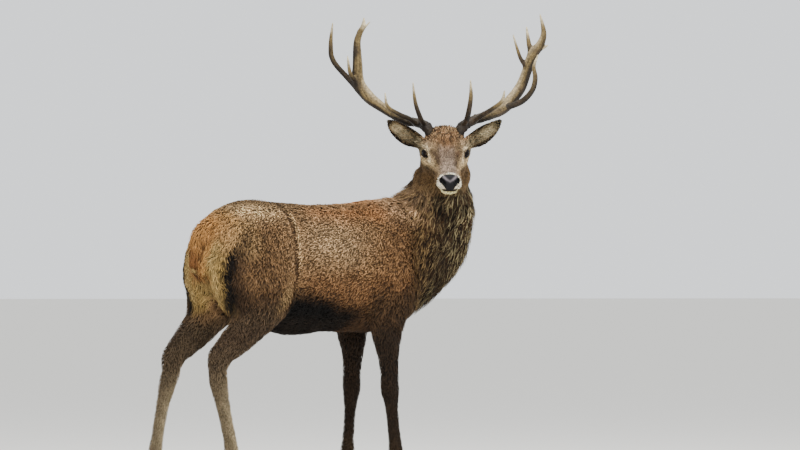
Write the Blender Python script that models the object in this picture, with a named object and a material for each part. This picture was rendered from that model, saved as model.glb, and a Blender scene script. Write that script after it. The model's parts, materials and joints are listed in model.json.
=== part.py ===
"""Red deer stag, life size, standing with its head turned back over its right shoulder.

The animal faces +X, its left side is +Y, and it stands on z = 0. The flesh with its coat is one
smooth form, written as a distance that is negative inside: each limb, the neck and the trunk is a loft
through a few oval stations, each muscle is an ellipsoid, and they are blended where they meet. That
form is turned into one closed mesh, thinned, and parted with flat cuts into head, neck, trunk, tail,
ears and legs. Hooves, dew claws, eyes and antlers are modelled on their own and let into it.
"""

import math

import bmesh
import bpy
import numpy as np
from mathutils import Matrix, Vector

# ---- Driving dimensions, in metres ----

GAP = 0.0004  # between pieces that touch
ORIGIN_X, ORIGIN_Y = 0.223, -0.087  # middle of the whole stag's footprint, in the frame of its trunk

HEAD_YAW = math.radians(-122.7)  # the face looks back past the right flank
CROWN_YAW = math.radians(-121.2)  # ears and antlers, a little behind the turn of the nose
HEAD_PITCH = math.radians(-30.0)  # and down along the nose
EYE_MIDDLE = (0.6625, -0.2040, 1.373)  # halfway between the eyes, which is the origin of the head's frame
EYE_RADIUS = 0.0185
EYE_PLACE = (0.014, 0.0825, 0.016)  # forward, outward and up in the head's frame

CORONET = (-0.088, 0.0745, 0.086)  # where an antler grows from its pedicle, in the head's frame
HOOF_TOP, HOOF_WIDTH, HOOF_SLOPE = 0.031, 0.029, 0.026  # half its length at the top, width, toe's lean
HOOF_FRONT, HOOF_HEEL = 0.052, 0.030  # heights of a hoof's top edge
CLEFT = 0.003  # between the two halves of a foot
DEW_CLAW = (0.011, 0.009, 0.017)  # half lengths

FINE, COARSE = 0.0065, 0.011  # grid cells in and round the head, and elsewhere
REACH = 0.03  # distances further from the surface than this are all alike
FLESH_TRIANGLES = 3300
SHORTEST_EDGE = 0.001

NAME = "red_deer_stag"


# ---- Frames ----


def head_frame():
    """The head's axes: forward along the nose, to its left, and up, with the point between the eyes."""
    turn = Matrix.Rotation(HEAD_YAW, 4, "Z") @ Matrix.Rotation(-HEAD_PITCH, 4, "Y")
    return Matrix.Translation(EYE_MIDDLE) @ turn


def brow_frame():
    """The antlers' axes: level, forward as the face looks, to its left, and straight up."""
    middle = head_frame() @ Vector((CORONET[0], 0.0, CORONET[2]))
    return Matrix.Translation(middle) @ Matrix.Rotation(CROWN_YAW, 4, "Z")


# ---- The form as a blended distance ----


def through(rows, steps=8):
    """Catmull-Rom curve through rows of numbers, with a few steps to each span."""
    rows = np.asarray(rows, float)
    padded = np.vstack([2 * rows[0] - rows[1], rows, 2 * rows[-1] - rows[-2]])
    spans = []
    for before, start, end, after in zip(padded, padded[1:], padded[2:], padded[3:]):
        t = np.linspace(0, 1, steps, endpoint=False)[:, None]
        spans.append(
            start
            + 0.5 * t * (end - before)
            + t**2 * (before - 2.5 * start + 2 * end - 0.5 * after)
            + 0.5 * t**3 * (3 * (start - end) + after - before)
        )
    return np.vstack([*spans, rows[-1:]])


def unit(vectors):
    return vectors / np.linalg.norm(vectors, axis=-1, keepdims=True)


class Loft:
    """A body swept through stations of centre, half width, and reach to and away from its top side."""

    def __init__(self, stations, top, power=2.2):
        rows = through(stations)
        self.path, self.sizes, self.power = rows[:, :3], rows[:, 3:6], power
        along = unit(np.gradient(self.path, axis=0))
        tops = through(top) if np.ndim(top) == 2 else np.broadcast_to(np.array(top, float), along.shape)
        self.side = unit(np.cross(tops, along))
        self.top = np.cross(along, self.side)
        reach = self.sizes.max() + 0.01
        self.low, self.high = self.path.min(0) - reach, self.path.max(0) + reach

    def distance(self, x, y, z):
        nearest = np.full(np.broadcast(x, y, z).shape, np.inf)
        place = np.zeros(nearest.shape)
        for i, (start, end) in enumerate(zip(self.path, self.path[1:])):
            span = end - start
            dx, dy, dz = x - start[0], y - start[1], z - start[2]
            t = np.clip((dx * span[0] + dy * span[1] + dz * span[2]) / (span @ span), 0, 1)
            gap = (dx - t * span[0]) ** 2 + (dy - t * span[1]) ** 2 + (dz - t * span[2]) ** 2
            closer = gap < nearest
            nearest = np.where(closer, gap, nearest)
            place = np.where(closer, i + t, place)
        at = np.arange(len(self.path))
        off = [v - np.interp(place, at, self.path[:, k]) for k, v in enumerate((x, y, z))]
        across = sum(o * np.interp(place, at, self.side[:, k]) for k, o in enumerate(off))
        above = sum(o * np.interp(place, at, self.top[:, k]) for k, o in enumerate(off))
        wide, up, down = (np.interp(place, at, self.sizes[:, k]) for k in range(3))
        deep = np.where(above > 0, up, down)
        flat = across**2 + above**2 + 1e-12
        beyond = (place <= 0) | (place >= at[-1])
        stretch = np.where(beyond, 1, np.sqrt(nearest / flat))
        across, above = across * stretch, above * stretch
        ends = np.where(beyond, np.sqrt(np.maximum(nearest - flat, 0)), 0) / np.minimum(wide, deep)
        shares = np.abs(across) / wide, np.abs(above) / deep, ends
        ratio = np.maximum(sum(share**self.power for share in shares), 1e-9) ** (1 / self.power)
        return np.sqrt(nearest + 1e-12) * (1 - 1 / ratio)


class Muscle:
    """An ellipsoid: centre, three half lengths, and its tilt about the Y axis, nose down positive."""

    def __init__(self, centre, halves, tilt=0.0, frame=None):
        turn = Matrix.Translation(centre) @ Matrix.Rotation(math.radians(tilt), 4, "Y")
        placed = (frame or Matrix.Identity(4)) @ turn
        self.centre = np.array(placed.translation)
        self.axes = np.array(placed.to_3x3()).T
        self.halves = np.array(halves, float)
        reach = self.halves.max() + 0.01
        self.low, self.high = self.centre - reach, self.centre + reach

    def distance(self, x, y, z):
        off = (x - self.centre[0], y - self.centre[1], z - self.centre[2])
        parts = [sum(a * o for a, o in zip(axis, off)) for axis in self.axes]
        ratio = np.sqrt(sum((p / h) ** 2 for p, h in zip(parts, self.halves)) + 1e-12)
        length = np.sqrt(sum(p**2 for p in parts) + 1e-12)
        return length * (1 - 1 / ratio)


def blend(a, b, radius):
    """The union of two distances, filleted over the radius."""
    h = np.clip(0.5 + 0.5 * (b - a) / radius, 0, 1)
    return b + (a - b) * h - radius * h * (1 - h)


def placed(frame, stations):
    """Stations given in a frame, moved into the world."""
    rows = np.array(stations, float)
    rows[:, :3] = [frame @ Vector(row) for row in rows[:, :3]]
    return rows


# ---- The stag's parts, with the blend of each into what comes before it ----


def trunk():
    """Trunk stations run from the rump to the breast: x, y, z, half width, reach up, reach down."""
    tops = (0, 0, 1)
    barrel = [
        (-0.435, 0, 0.910, 0.070, 0.140, 0.070),
        (-0.404, 0, 0.910, 0.112, 0.200, 0.125),
        (-0.345, 0, 0.910, 0.144, 0.236, 0.180),
        (-0.270, 0, 0.910, 0.168, 0.260, 0.225),
        (-0.180, 0, 0.910, 0.182, 0.265, 0.258),
        (-0.060, 0, 0.910, 0.196, 0.256, 0.277),
        (0.070, 0, 0.910, 0.208, 0.247, 0.285),
        (0.190, 0, 0.910, 0.214, 0.250, 0.289),
        (0.310, 0, 0.910, 0.204, 0.259, 0.291),
        (0.420, 0, 0.910, 0.188, 0.273, 0.290),
        (0.530, 0, 0.910, 0.170, 0.250, 0.250),
        (0.620, 0, 0.910, 0.130, 0.180, 0.180),
    ]
    yield Loft(barrel, tops, 2.3), 0.03
    yield Muscle((0.0, 0, 0.640), (0.130, 0.030, 0.030)), 0.04
    yield Muscle((-0.235, 0, 0.700), (0.040, 0.038, 0.065)), 0.03
    for side in (-1, 1):
        yield Muscle((-0.352, side * 0.092, 0.888), (0.116, 0.080, 0.200)), 0.05
        yield Muscle((-0.210, side * 0.100, 1.000), (0.150, 0.080, 0.120), 12), 0.07
        yield Muscle((0.405, side * 0.095, 0.920), (0.130, 0.088, 0.215), 22), 0.07
        yield Muscle((0.435, side * 0.125, 0.800), (0.125, 0.072, 0.135)), 0.06


def tail():
    stations = [
        (-0.380, 0, 1.085, 0.040, 0.034, 0.034),
        (-0.448, 0, 1.062, 0.042, 0.028, 0.030),
        (-0.480, 0, 1.000, 0.044, 0.025, 0.034),
        (-0.478, 0, 0.935, 0.037, 0.021, 0.030),
        (-0.472, 0, 0.872, 0.016, 0.012, 0.016),
    ]
    yield Loft(stations, (-1, 0, 0.8)), 0.02


FORE_SIZES = [  # height, half width, reach forward, reach back
    (0.800, 0.062, 0.100, 0.105),
    (0.700, 0.056, 0.084, 0.098),
    (0.617, 0.047, 0.074, 0.078),
    (0.520, 0.038, 0.051, 0.050),
    (0.440, 0.034, 0.042, 0.042),
    (0.370, 0.036, 0.041, 0.040),
    (0.300, 0.026, 0.0285, 0.030),
    (0.220, 0.0235, 0.0275, 0.0285),
    (0.150, 0.025, 0.029, 0.031),
    (0.112, 0.029, 0.031, 0.037),
    (0.068, 0.029, 0.031, 0.030),
    (0.025, 0.030, 0.032, 0.031),
]
THIGH_SIZES = [
    (1.000, 0.075, 0.120, 0.120),
    (0.910, 0.092, 0.155, 0.155),
    (0.820, 0.092, 0.162, 0.158),
    (0.750, 0.082, 0.130, 0.122),
]
GASKIN_SIZES = [
    (0.775, 0.084, 0.112, 0.100),
    (0.685, 0.068, 0.098, 0.068),
    (0.605, 0.053, 0.080, 0.060),
    (0.545, 0.042, 0.058, 0.054),
    (0.508, 0.036, 0.046, 0.046),
]
CANNON_SIZES = [
    (0.505, 0.035, 0.046, 0.042),
    (0.450, 0.033, 0.042, 0.046),
    (0.386, 0.027, 0.037, 0.042),
    (0.320, 0.0245, 0.032, 0.033),
    (0.250, 0.024, 0.030, 0.030),
    (0.170, 0.0255, 0.030, 0.031),
    (0.118, 0.029, 0.031, 0.037),
    (0.068, 0.029, 0.031, 0.030),
    (0.025, 0.030, 0.032, 0.031),
]
FORE_Y = (0.140, 0.140, 0.132, 0.125, 0.120, 0.116, 0.114, 0.112, 0.111, 0.110, 0.110, 0.110)
THIGH_Y = (0.092, 0.116, 0.130, 0.136)
GASKIN_Y = (0.138, 0.140, 0.136, 0.131, 0.128)
CANNON_Y = (0.127, 0.124, 0.121, 0.119, 0.117, 0.115, 0.113, 0.112, 0.110)

# How far forward each station of a leg stands; the left hind leg is set well back.
FORE_X = {
    "right": (0.440, 0.415, 0.408, 0.418, 0.428, 0.434, 0.446, 0.456, 0.467, 0.474, 0.490, 0.503),
    "left": (0.435, 0.420, 0.421, 0.416, 0.408, 0.404, 0.396, 0.388, 0.382, 0.380, 0.393, 0.404),
}
THIGH_X = {"right": (-0.250, -0.262, -0.266, -0.262), "left": (-0.255, -0.272, -0.287, -0.301)}
GASKIN_X = {
    "right": (-0.215, -0.298, -0.374, -0.432, -0.460),
    "left": (-0.272, -0.352, -0.428, -0.488, -0.517),
}
CANNON_X = {
    "right": (-0.464, -0.459, -0.446, -0.430, -0.411, -0.391, -0.380, -0.362, -0.346),
    "left": (-0.518, -0.526, -0.548, -0.569, -0.586, -0.601, -0.608, -0.596, -0.584),
}
SIDES = {"right": -1, "left": 1}


def leg_stations(xs, ys, sizes, side):
    return [(x, side * y, row[0], *row[1:]) for x, y, row in zip(xs, ys, sizes)]


def legs():
    forward = (1, 0, 0)
    for name, side in SIDES.items():
        yield Loft(leg_stations(FORE_X[name], FORE_Y, FORE_SIZES, side), forward), 0.03
        yield Loft(leg_stations(THIGH_X[name], THIGH_Y, THIGH_SIZES, side), forward), 0.05
        yield Loft(leg_stations(GASKIN_X[name], GASKIN_Y, GASKIN_SIZES, side), forward), 0.04
        yield Loft(leg_stations(CANNON_X[name], CANNON_Y, CANNON_SIZES, side), forward), 0.02
        heel_x = CANNON_X[name][0]
        heel = [
            (heel_x + 0.006, side * 0.127, 0.495, 0.026, 0.026, 0.026),
            (heel_x - 0.020, side * 0.127, 0.530, 0.021, 0.021, 0.021),
            (heel_x - 0.030, side * 0.127, 0.550, 0.015, 0.015, 0.015),
        ]
        yield Loft(heel, forward, 2.0), 0.02


def neck():
    """Neck and mane: the nape turns from facing back, at the withers, to facing away from the face."""
    stations = [
        (0.400, 0.000, 0.920, 0.165, 0.230, 0.270),
        (0.520, -0.004, 1.000, 0.165, 0.192, 0.304),
        (0.625, -0.020, 1.090, 0.157, 0.140, 0.306),
        (0.700, -0.050, 1.190, 0.138, 0.122, 0.226),
        (0.738, -0.080, 1.290, 0.112, 0.108, 0.144),
        (0.734, -0.098, 1.350, 0.100, 0.090, 0.100),
        (0.728, -0.105, 1.385, 0.084, 0.070, 0.084),
    ]
    swing = np.radians([180, 178, 170, 150, 125, 100, 80])
    napes = np.stack([np.cos(swing), np.sin(swing), np.linspace(0.6, 0.1, 7)], axis=1)
    yield Loft(stations, napes, 2.1), 0.05
    yield Muscle((0.664, -0.020, 0.972), (0.166, 0.145, 0.190), 25), 0.06
    yield Muscle((0.562, -0.010, 0.788), (0.066, 0.070, 0.085), 25), 0.05


def head():
    frame = head_frame()
    stations = [
        (-0.130, 0, 0.000, 0.060, 0.048, 0.070),
        (-0.090, 0, 0.005, 0.084, 0.070, 0.098),
        (-0.045, 0, 0.000, 0.099, 0.082, 0.098),
        (0.000, 0, -0.008, 0.103, 0.072, 0.086),
        (0.045, 0, -0.012, 0.084, 0.058, 0.073),
        (0.090, 0, -0.014, 0.067, 0.053, 0.062),
        (0.135, 0, -0.016, 0.057, 0.049, 0.054),
        (0.175, 0, -0.018, 0.058, 0.046, 0.052),
        (0.208, 0, -0.020, 0.059, 0.043, 0.050),
        (0.224, 0, -0.020, 0.052, 0.038, 0.042),
    ]
    up = frame.to_3x3() @ Vector((0, 0, 1))
    yield Loft(placed(frame, stations), up, 2.3), 0.06
    yield Muscle((-0.085, 0, 0.057), (0.045, 0.068, 0.040), 0, frame), 0.02
    yield Muscle((0.221, 0, 0.001), (0.025, 0.047, 0.031), 12, frame), 0.012
    yield Muscle((0.207, 0, -0.052), (0.033, 0.039, 0.022), 0, frame), 0.010
    for side in (-1, 1):
        yield Muscle((-0.020, side * 0.087, 0.015), (0.036, 0.022, 0.032), 0, frame), 0.02
        yield Muscle((-0.040, side * 0.052, -0.048), (0.070, 0.036, 0.052), 20, frame), 0.03
        pedicle = [
            (-0.070, side * 0.050, 0.045, 0.026, 0.026, 0.026),
            (-0.078, side * 0.062, 0.062, 0.021, 0.021, 0.021),
            (-0.084, side * 0.070, 0.074, 0.017, 0.017, 0.017),
        ]
        yield Loft(placed(frame, pedicle), up, 2.0), 0.02


def ear(side):
    """Ear stations from its root outwards, level frame of the face; it opens the way the face looks."""
    frame = brow_frame()
    stations = [
        (0.010, side * 0.092, -0.072, 0.024, 0.020, 0.020),
        (0.004, side * 0.118, -0.058, 0.033, 0.020, 0.022),
        (-0.006, side * 0.152, -0.042, 0.041, 0.017, 0.022),
        (-0.014, side * 0.188, -0.018, 0.039, 0.014, 0.019),
        (-0.018, side * 0.221, 0.009, 0.027, 0.011, 0.014),
        (-0.016, side * 0.243, 0.031, 0.012, 0.009, 0.009),
    ]
    opening = frame.to_3x3() @ Vector((1.0, 0.35 * side, -0.15))
    return Loft(placed(frame, stations), opening, 2.0)


def ears():
    for side in (-1, 1):
        yield ear(side), 0.010


def stag_form():
    for group in (trunk, tail, legs, neck, head, ears):
        yield from group()


# ---- From the form to a mesh ----


def spaced(*stops):
    """Grid lines through stops of (start, cell), the last one closing the row."""
    lines = []
    for (start, cell), (end, _) in zip(stops, stops[1:]):
        count = max(round((end - start) / cell), 1)
        lines.append(np.linspace(start, end, count, endpoint=False))
    return np.concatenate([*lines, [stops[-1][0]]])


def sample(form, lines):
    """The blended distance on the grid; each part is worked out only in the block round it."""
    field = np.full([len(line) for line in lines], 1.0)
    for solid, radius in form:
        block = []
        for line, low, high in zip(lines, solid.low - radius, solid.high + radius):
            block.append(slice(*np.searchsorted(line, [low, high])))
        block = tuple(block)
        x, y, z = np.ix_(*(line[cut] for line, cut in zip(lines, block)))
        field[block] = blend(field[block], solid.distance(x, y, z), radius)
    return softened(np.clip(field, -REACH, REACH))


def softened(field):
    """Each value averaged with its neighbours on the three axes: no crease is sharper than a cell."""
    for axis in range(3):
        padded = np.pad(field, [(1, 1) if k == axis else (0, 0) for k in range(3)], "edge")
        size = field.shape[axis]
        before, after = (np.take(padded, np.arange(start, start + size), axis) for start in (0, 2))
        field = 0.5 * field + 0.25 * (before + after)
    return field


CORNERS = np.array([(i, j, k) for i in (0, 1) for j in (0, 1) for k in (0, 1)])
EDGES = [(a, b) for a in range(8) for b in range(a + 1, 8) if np.abs(CORNERS[a] - CORNERS[b]).sum() == 1]


def net(field, lines):
    """Surface net: one vertex in each cell that the surface crosses, one quad round each crossed edge."""
    inside = field < 0
    shape = np.array(field.shape) - 1
    ends = np.array(field.shape) - 1 + CORNERS
    blocks = [tuple(slice(*pair) for pair in zip(low, high)) for low, high in zip(CORNERS, ends)]
    count = sum(inside[block].astype(np.int8) for block in blocks)
    crossed = (count > 0) & (count < len(CORNERS))
    cells = np.argwhere(crossed)
    number = np.full(shape, -1)
    number[crossed] = np.arange(len(cells))
    values, places = [], []
    for corner in CORNERS:
        at = cells + corner
        values.append(field[tuple(at.T)])
        places.append(np.stack([line[i] for line, i in zip(lines, at.T)], axis=1))
    total, hits = np.zeros((len(cells), 3)), np.zeros(len(cells))
    for a, b in EDGES:
        cut = (values[a] < 0) != (values[b] < 0)
        t = np.where(cut, values[a] / np.where(cut, values[a] - values[b], 1), 0)[:, None]
        total += np.where(cut[:, None], places[a] + t * (places[b] - places[a]), 0)
        hits += cut
    quads = []
    for axis in range(3):
        u, v = (axis + 1) % 3, (axis + 2) % 3
        low, high = [slice(1, -1)] * 3, [slice(1, -1)] * 3
        low[axis], high[axis] = slice(0, -1), slice(1, None)
        starts, ends = inside[tuple(low)], inside[tuple(high)]
        at = np.argwhere(starts != ends)
        out = starts[tuple(at.T)]
        at[:, u] += 1
        at[:, v] += 1
        ring = []
        for du, dv in ((-1, -1), (0, -1), (0, 0), (-1, 0)):
            cell = at.copy()
            cell[:, u] += du
            cell[:, v] += dv
            ring.append(number[tuple(cell.T)])
        ring = np.stack(ring, axis=1)
        quads.append(np.where(out[:, None], ring, ring[:, ::-1]))
    return total / hits[:, None], np.concatenate(quads)


# ---- Blender objects ----


def clear():
    for old in list(bpy.data.objects):
        bpy.data.objects.remove(old, do_unlink=True)


def collection(name):
    made = bpy.data.collections.new(name)
    bpy.context.scene.collection.children.link(made)
    return made


def material(name, colour, roughness):
    """A Principled material from an sRGB colour."""
    made = bpy.data.materials.new(name)
    made.use_nodes = True
    shader = made.node_tree.nodes["Principled BSDF"]
    linear = [(c / 12.92 if c <= 0.04045 else ((c + 0.055) / 1.055) ** 2.4) for c in colour]
    shader.inputs["Base Color"].default_value = (*linear, 1)
    shader.inputs["Roughness"].default_value = roughness
    made.diffuse_color = (*colour, 1)
    return made


def mesh_object(name, vertices, faces, where):
    mesh = bpy.data.meshes.new(name)
    mesh.from_pydata([tuple(v) for v in vertices], [], [tuple(int(i) for i in f) for f in faces])
    made = bpy.data.objects.new(name, mesh)
    where.objects.link(made)
    return made


def settle(piece):
    """The piece's modifiers, made part of its mesh."""
    graph = bpy.context.evaluated_depsgraph_get()
    mesh = bpy.data.meshes.new_from_object(piece.evaluated_get(graph))
    piece.modifiers.clear()
    piece.data = mesh
    return piece


def cut(piece, cutter, operation="DIFFERENCE"):
    change = piece.modifiers.new(operation.title(), "BOOLEAN")
    change.operation, change.solver, change.object = operation, "EXACT", cutter
    return settle(piece)


def region(name, frame, low, high, where):
    """A box cutter between two corners of a frame."""
    low, high = Vector(low), Vector(high)
    shell = bmesh.new()
    size = Matrix.Diagonal((*(high - low), 1))
    bmesh.ops.create_cube(shell, size=1, matrix=frame @ Matrix.Translation((low + high) / 2) @ size)
    mesh = bpy.data.meshes.new(name)
    shell.to_mesh(mesh)
    shell.free()
    made = bpy.data.objects.new(name, mesh)
    where.objects.link(made)
    made.hide_render, made.display_type = True, "WIRE"
    return made


def part_off(body, name, frame, low, high, groups):
    """Parts the piece inside a box from the body, with the gap all round the cut."""
    model, cutters = groups
    inner = region(f"{name}_box", frame, low, high, cutters)
    grown = [Vector(low) - Vector([GAP] * 3), Vector(high) + Vector([GAP] * 3)]
    outer = region(f"{name}_box_grown", frame, *grown, cutters)
    piece = body.copy()
    piece.data = body.data.copy()
    piece.name = name
    model.objects.link(piece)
    cut(piece, inner, "INTERSECT")
    cut(body, outer)
    return piece


def islands(shell):
    """The vertices of each connected part of a mesh."""
    left = set(shell.verts)
    while left:
        reached = [left.pop()]
        for vertex in reached:
            for edge in vertex.link_edges:
                other = edge.other_vert(vertex)
                if other in left:
                    left.remove(other)
                    reached.append(other)
        yield reached


def tidy(piece):
    """Welds and triangulates the piece, drops crumbs left by the cuts, and turns its faces outwards."""
    shell = bmesh.new()
    shell.from_mesh(piece.data)
    crumbs = sorted(islands(shell), key=len)[:-1]
    bmesh.ops.delete(shell, geom=[vertex for crumb in crumbs for vertex in crumb], context="VERTS")
    bmesh.ops.remove_doubles(shell, verts=shell.verts, dist=2e-5)
    bmesh.ops.triangulate(shell, faces=shell.faces)
    bmesh.ops.dissolve_degenerate(shell, dist=2e-5, edges=shell.edges)
    bmesh.ops.triangulate(shell, faces=shell.faces)
    bmesh.ops.recalc_face_normals(shell, faces=shell.faces)
    shell.to_mesh(piece.data)
    shell.free()
    piece.data.shade_smooth()
    piece.data.set_sharp_from_angle(angle=math.radians(50))


# ---- Flesh, parted ----


def flesh(model):
    """The whole stag under its coat's outline, without hooves, eyes and antlers, as one closed mesh."""
    lines = (
        spaced((-0.68, COARSE), (0.40, FINE), (0.96, FINE)),
        spaced((-0.47, FINE), (0.07, COARSE), (0.28, COARSE)),
        spaced((-0.03, COARSE), (1.13, FINE), (1.60, FINE)),
    )
    vertices, quads = net(sample(stag_form(), lines), lines)
    body = mesh_object("trunk", vertices, quads, model)
    thin = body.modifiers.new("Thin", "DECIMATE")
    thin.ratio = FLESH_TRIANGLES / (2 * len(quads))
    settle(body)
    shell = bmesh.new()
    shell.from_mesh(body.data)
    bmesh.ops.dissolve_degenerate(shell, dist=SHORTEST_EDGE, edges=shell.edges)
    bmesh.ops.triangulate(shell, faces=shell.faces)
    shell.to_mesh(body.data)
    shell.free()
    return body


def tilted(place, pitch, yaw=0.0):
    """A frame at a place whose Z axis leans forward by the pitch, and which is turned by the yaw."""
    turn = Matrix.Rotation(math.radians(yaw), 4, "Z") @ Matrix.Rotation(math.radians(pitch), 4, "Y")
    return Matrix.Translation(place) @ turn


# Where a side's pieces are parted from the body: a tilted frame's place and lean, then its box from the
# lowest to the highest corner, with y counted outwards from the middle of the body.
def side_cuts(word):
    knee = (FORE_X[word][5], 0.0, 0.370)
    hock = (CANNON_X[word][0], 0.0, 0.505)
    return {
        "fore_leg_lower": (knee, 0, (-0.20, 0.055, -0.50), (0.20, 0.40, 0.0)),
        "hind_leg_lower": (hock, -18, (-0.30, 0.055, -0.60), (0.30, 0.40, 0.0)),
        "fore_leg_upper": ((0.43, 0.0, 0.84), 18, (-0.17, 0.055, -0.70), (0.24, 0.40, 0.0)),
        "hind_leg_upper": ((-0.26, 0.0, 0.86), 28, (-0.50, 0.035, -0.80), (0.24, 0.40, 0.0)),
    }


def mirrored(side, low, high):
    """A box's corners with y counted outwards on the given side."""
    near, far = sorted((side * low[1], side * high[1]))
    return (low[0], near, low[2]), (high[0], far, high[2])


def part_flesh(body, groups):
    """Ears, head, neck, tail and legs are parted from the body in turn; what is left is the trunk."""
    pieces = []
    for word, side in SIDES.items():
        corners = mirrored(side, (-0.042, 0.114, -0.098), (0.035, 0.30, 0.08))
        pieces.append(part_off(body, f"ear_{word}", brow_frame(), *corners, groups))
    throat = tilted((0.700, -0.126, 1.284), 50, math.degrees(HEAD_YAW))
    pieces.append(part_off(body, "head", throat, (-0.35, -0.14, 0.0), (0.35, 0.14, 0.40), groups))
    breast = tilted((0.520, 0.0, 1.000), 55)
    pieces.append(part_off(body, "neck", breast, (-0.80, -0.50, 0.0), (0.80, 0.50, 0.70), groups))
    dock = tilted((-0.424, 0.0, 1.020), 8)
    pieces.append(part_off(body, "tail", dock, (-0.20, -0.05, -0.30), (0.0, 0.05, 0.09), groups))
    for word, side in SIDES.items():
        for limb, (place, lean, low, high) in side_cuts(word).items():
            corners = mirrored(side, low, high)
            pieces.append(part_off(body, f"{limb}_{word}", tilted(place, lean), *corners, groups))
    return pieces


# ---- Eyes, hooves and dew claws ----


def ball(name, frame, halves, where, segments, rings):
    """A closed ellipsoid."""
    shell = bmesh.new()
    bmesh.ops.create_uvsphere(shell, u_segments=segments, v_segments=rings, radius=1)
    bmesh.ops.transform(shell, matrix=frame @ Matrix.Diagonal((*halves, 1)), verts=shell.verts)
    mesh = bpy.data.meshes.new(name)
    shell.to_mesh(mesh)
    shell.free()
    made = bpy.data.objects.new(name, mesh)
    where.objects.link(made)
    return made


def let_in(name, frame, halves, body, groups, segments=8, rings=6):
    """An ellipsoid set into the flesh round it, which is hollowed for it with the gap."""
    model, cutters = groups
    socket = ball(f"{name}_socket", frame, [half + GAP for half in halves], cutters, segments, rings)
    socket.hide_render, socket.display_type = True, "WIRE"
    cut(body, socket)
    return ball(name, frame, halves, model, segments, rings)


def eyes(head_piece, groups):
    pieces = []
    for word, side in SIDES.items():
        forward, out, up = EYE_PLACE
        frame = head_frame() @ Matrix.Translation((forward, side * out, up))
        pieces.append(let_in(f"eye_{word}", frame, [EYE_RADIUS] * 3, head_piece, groups, 10, 7))
    return pieces


def hoof(name, place, side, where):
    """One cloven half: a D-shaped wall, flat side inwards, from a level sole to a sloping top."""
    shell = bmesh.new()
    turns = np.linspace(0, 2 * math.pi, 16, endpoint=False)
    rings = []
    for share in (0.0, 0.15, 0.6, 1.0):
        toe = HOOF_TOP + HOOF_SLOPE * (1 - share)
        middle, half = (toe - HOOF_TOP) / 2, (toe + HOOF_TOP) / 2
        bulge = HOOF_WIDTH * (1 - 0.10 * share)
        ring = []
        for turn in turns:
            along = middle + half * math.cos(turn)
            swell = math.sin(turn)
            share_out = 0.12 + 0.88 * swell**0.8 if swell > 0 else 0.12 * (1 + swell)
            out = CLEFT / 2 + bulge * share_out
            top = HOOF_HEEL + (HOOF_FRONT - HOOF_HEEL) * (along + HOOF_TOP) / (2 * HOOF_TOP)
            ring.append(shell.verts.new((place[0] + along, place[1] + side * out, share * (top - GAP))))
        rings.append(ring)
    for lower, upper in zip(rings, rings[1:]):
        for i in range(len(turns)):
            j = (i + 1) % len(turns)
            shell.faces.new((lower[i], lower[j], upper[j], upper[i]))
    shell.faces.new(rings[0])
    shell.faces.new(rings[-1])
    bmesh.ops.recalc_face_normals(shell, faces=shell.faces)
    mesh = bpy.data.meshes.new(name)
    shell.to_mesh(mesh)
    shell.free()
    made = bpy.data.objects.new(name, mesh)
    where.objects.link(made)
    return made


def feet(pieces, groups):
    """Two half hooves and two dew claws to each leg, whose end is cut to the slope of the hooves."""
    model, cutters = groups
    slope = math.degrees(math.atan2(HOOF_FRONT - HOOF_HEEL, 2 * HOOF_TOP))
    horn = []
    for word, side in SIDES.items():
        for limb, xs, ys in (("fore", FORE_X, FORE_Y), ("hind", CANNON_X, CANNON_Y)):
            leg = pieces[f"{limb}_leg_lower_{word}"]
            x, y = xs[word][-1], side * ys[-1]
            top = tilted((x - HOOF_TOP, y, HOOF_HEEL), -slope)
            cut(leg, region(f"{limb}_{word}_sole", top, (-0.1, -0.1, -0.2), (0.2, 0.1, 0.0), cutters))
            for half, way in (("outer", side), ("inner", -side)):
                horn.append(hoof(f"hoof_{limb}_{word}_{half}", (x, y), way, model))
                claw = tilted((xs[word][-3] - 0.034, y + way * 0.017, 0.098), 25)
                horn.append(let_in(f"dew_claw_{limb}_{word}_{half}", claw, DEW_CLAW, leg, groups))
    return horn


# ---- Antlers ----

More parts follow.
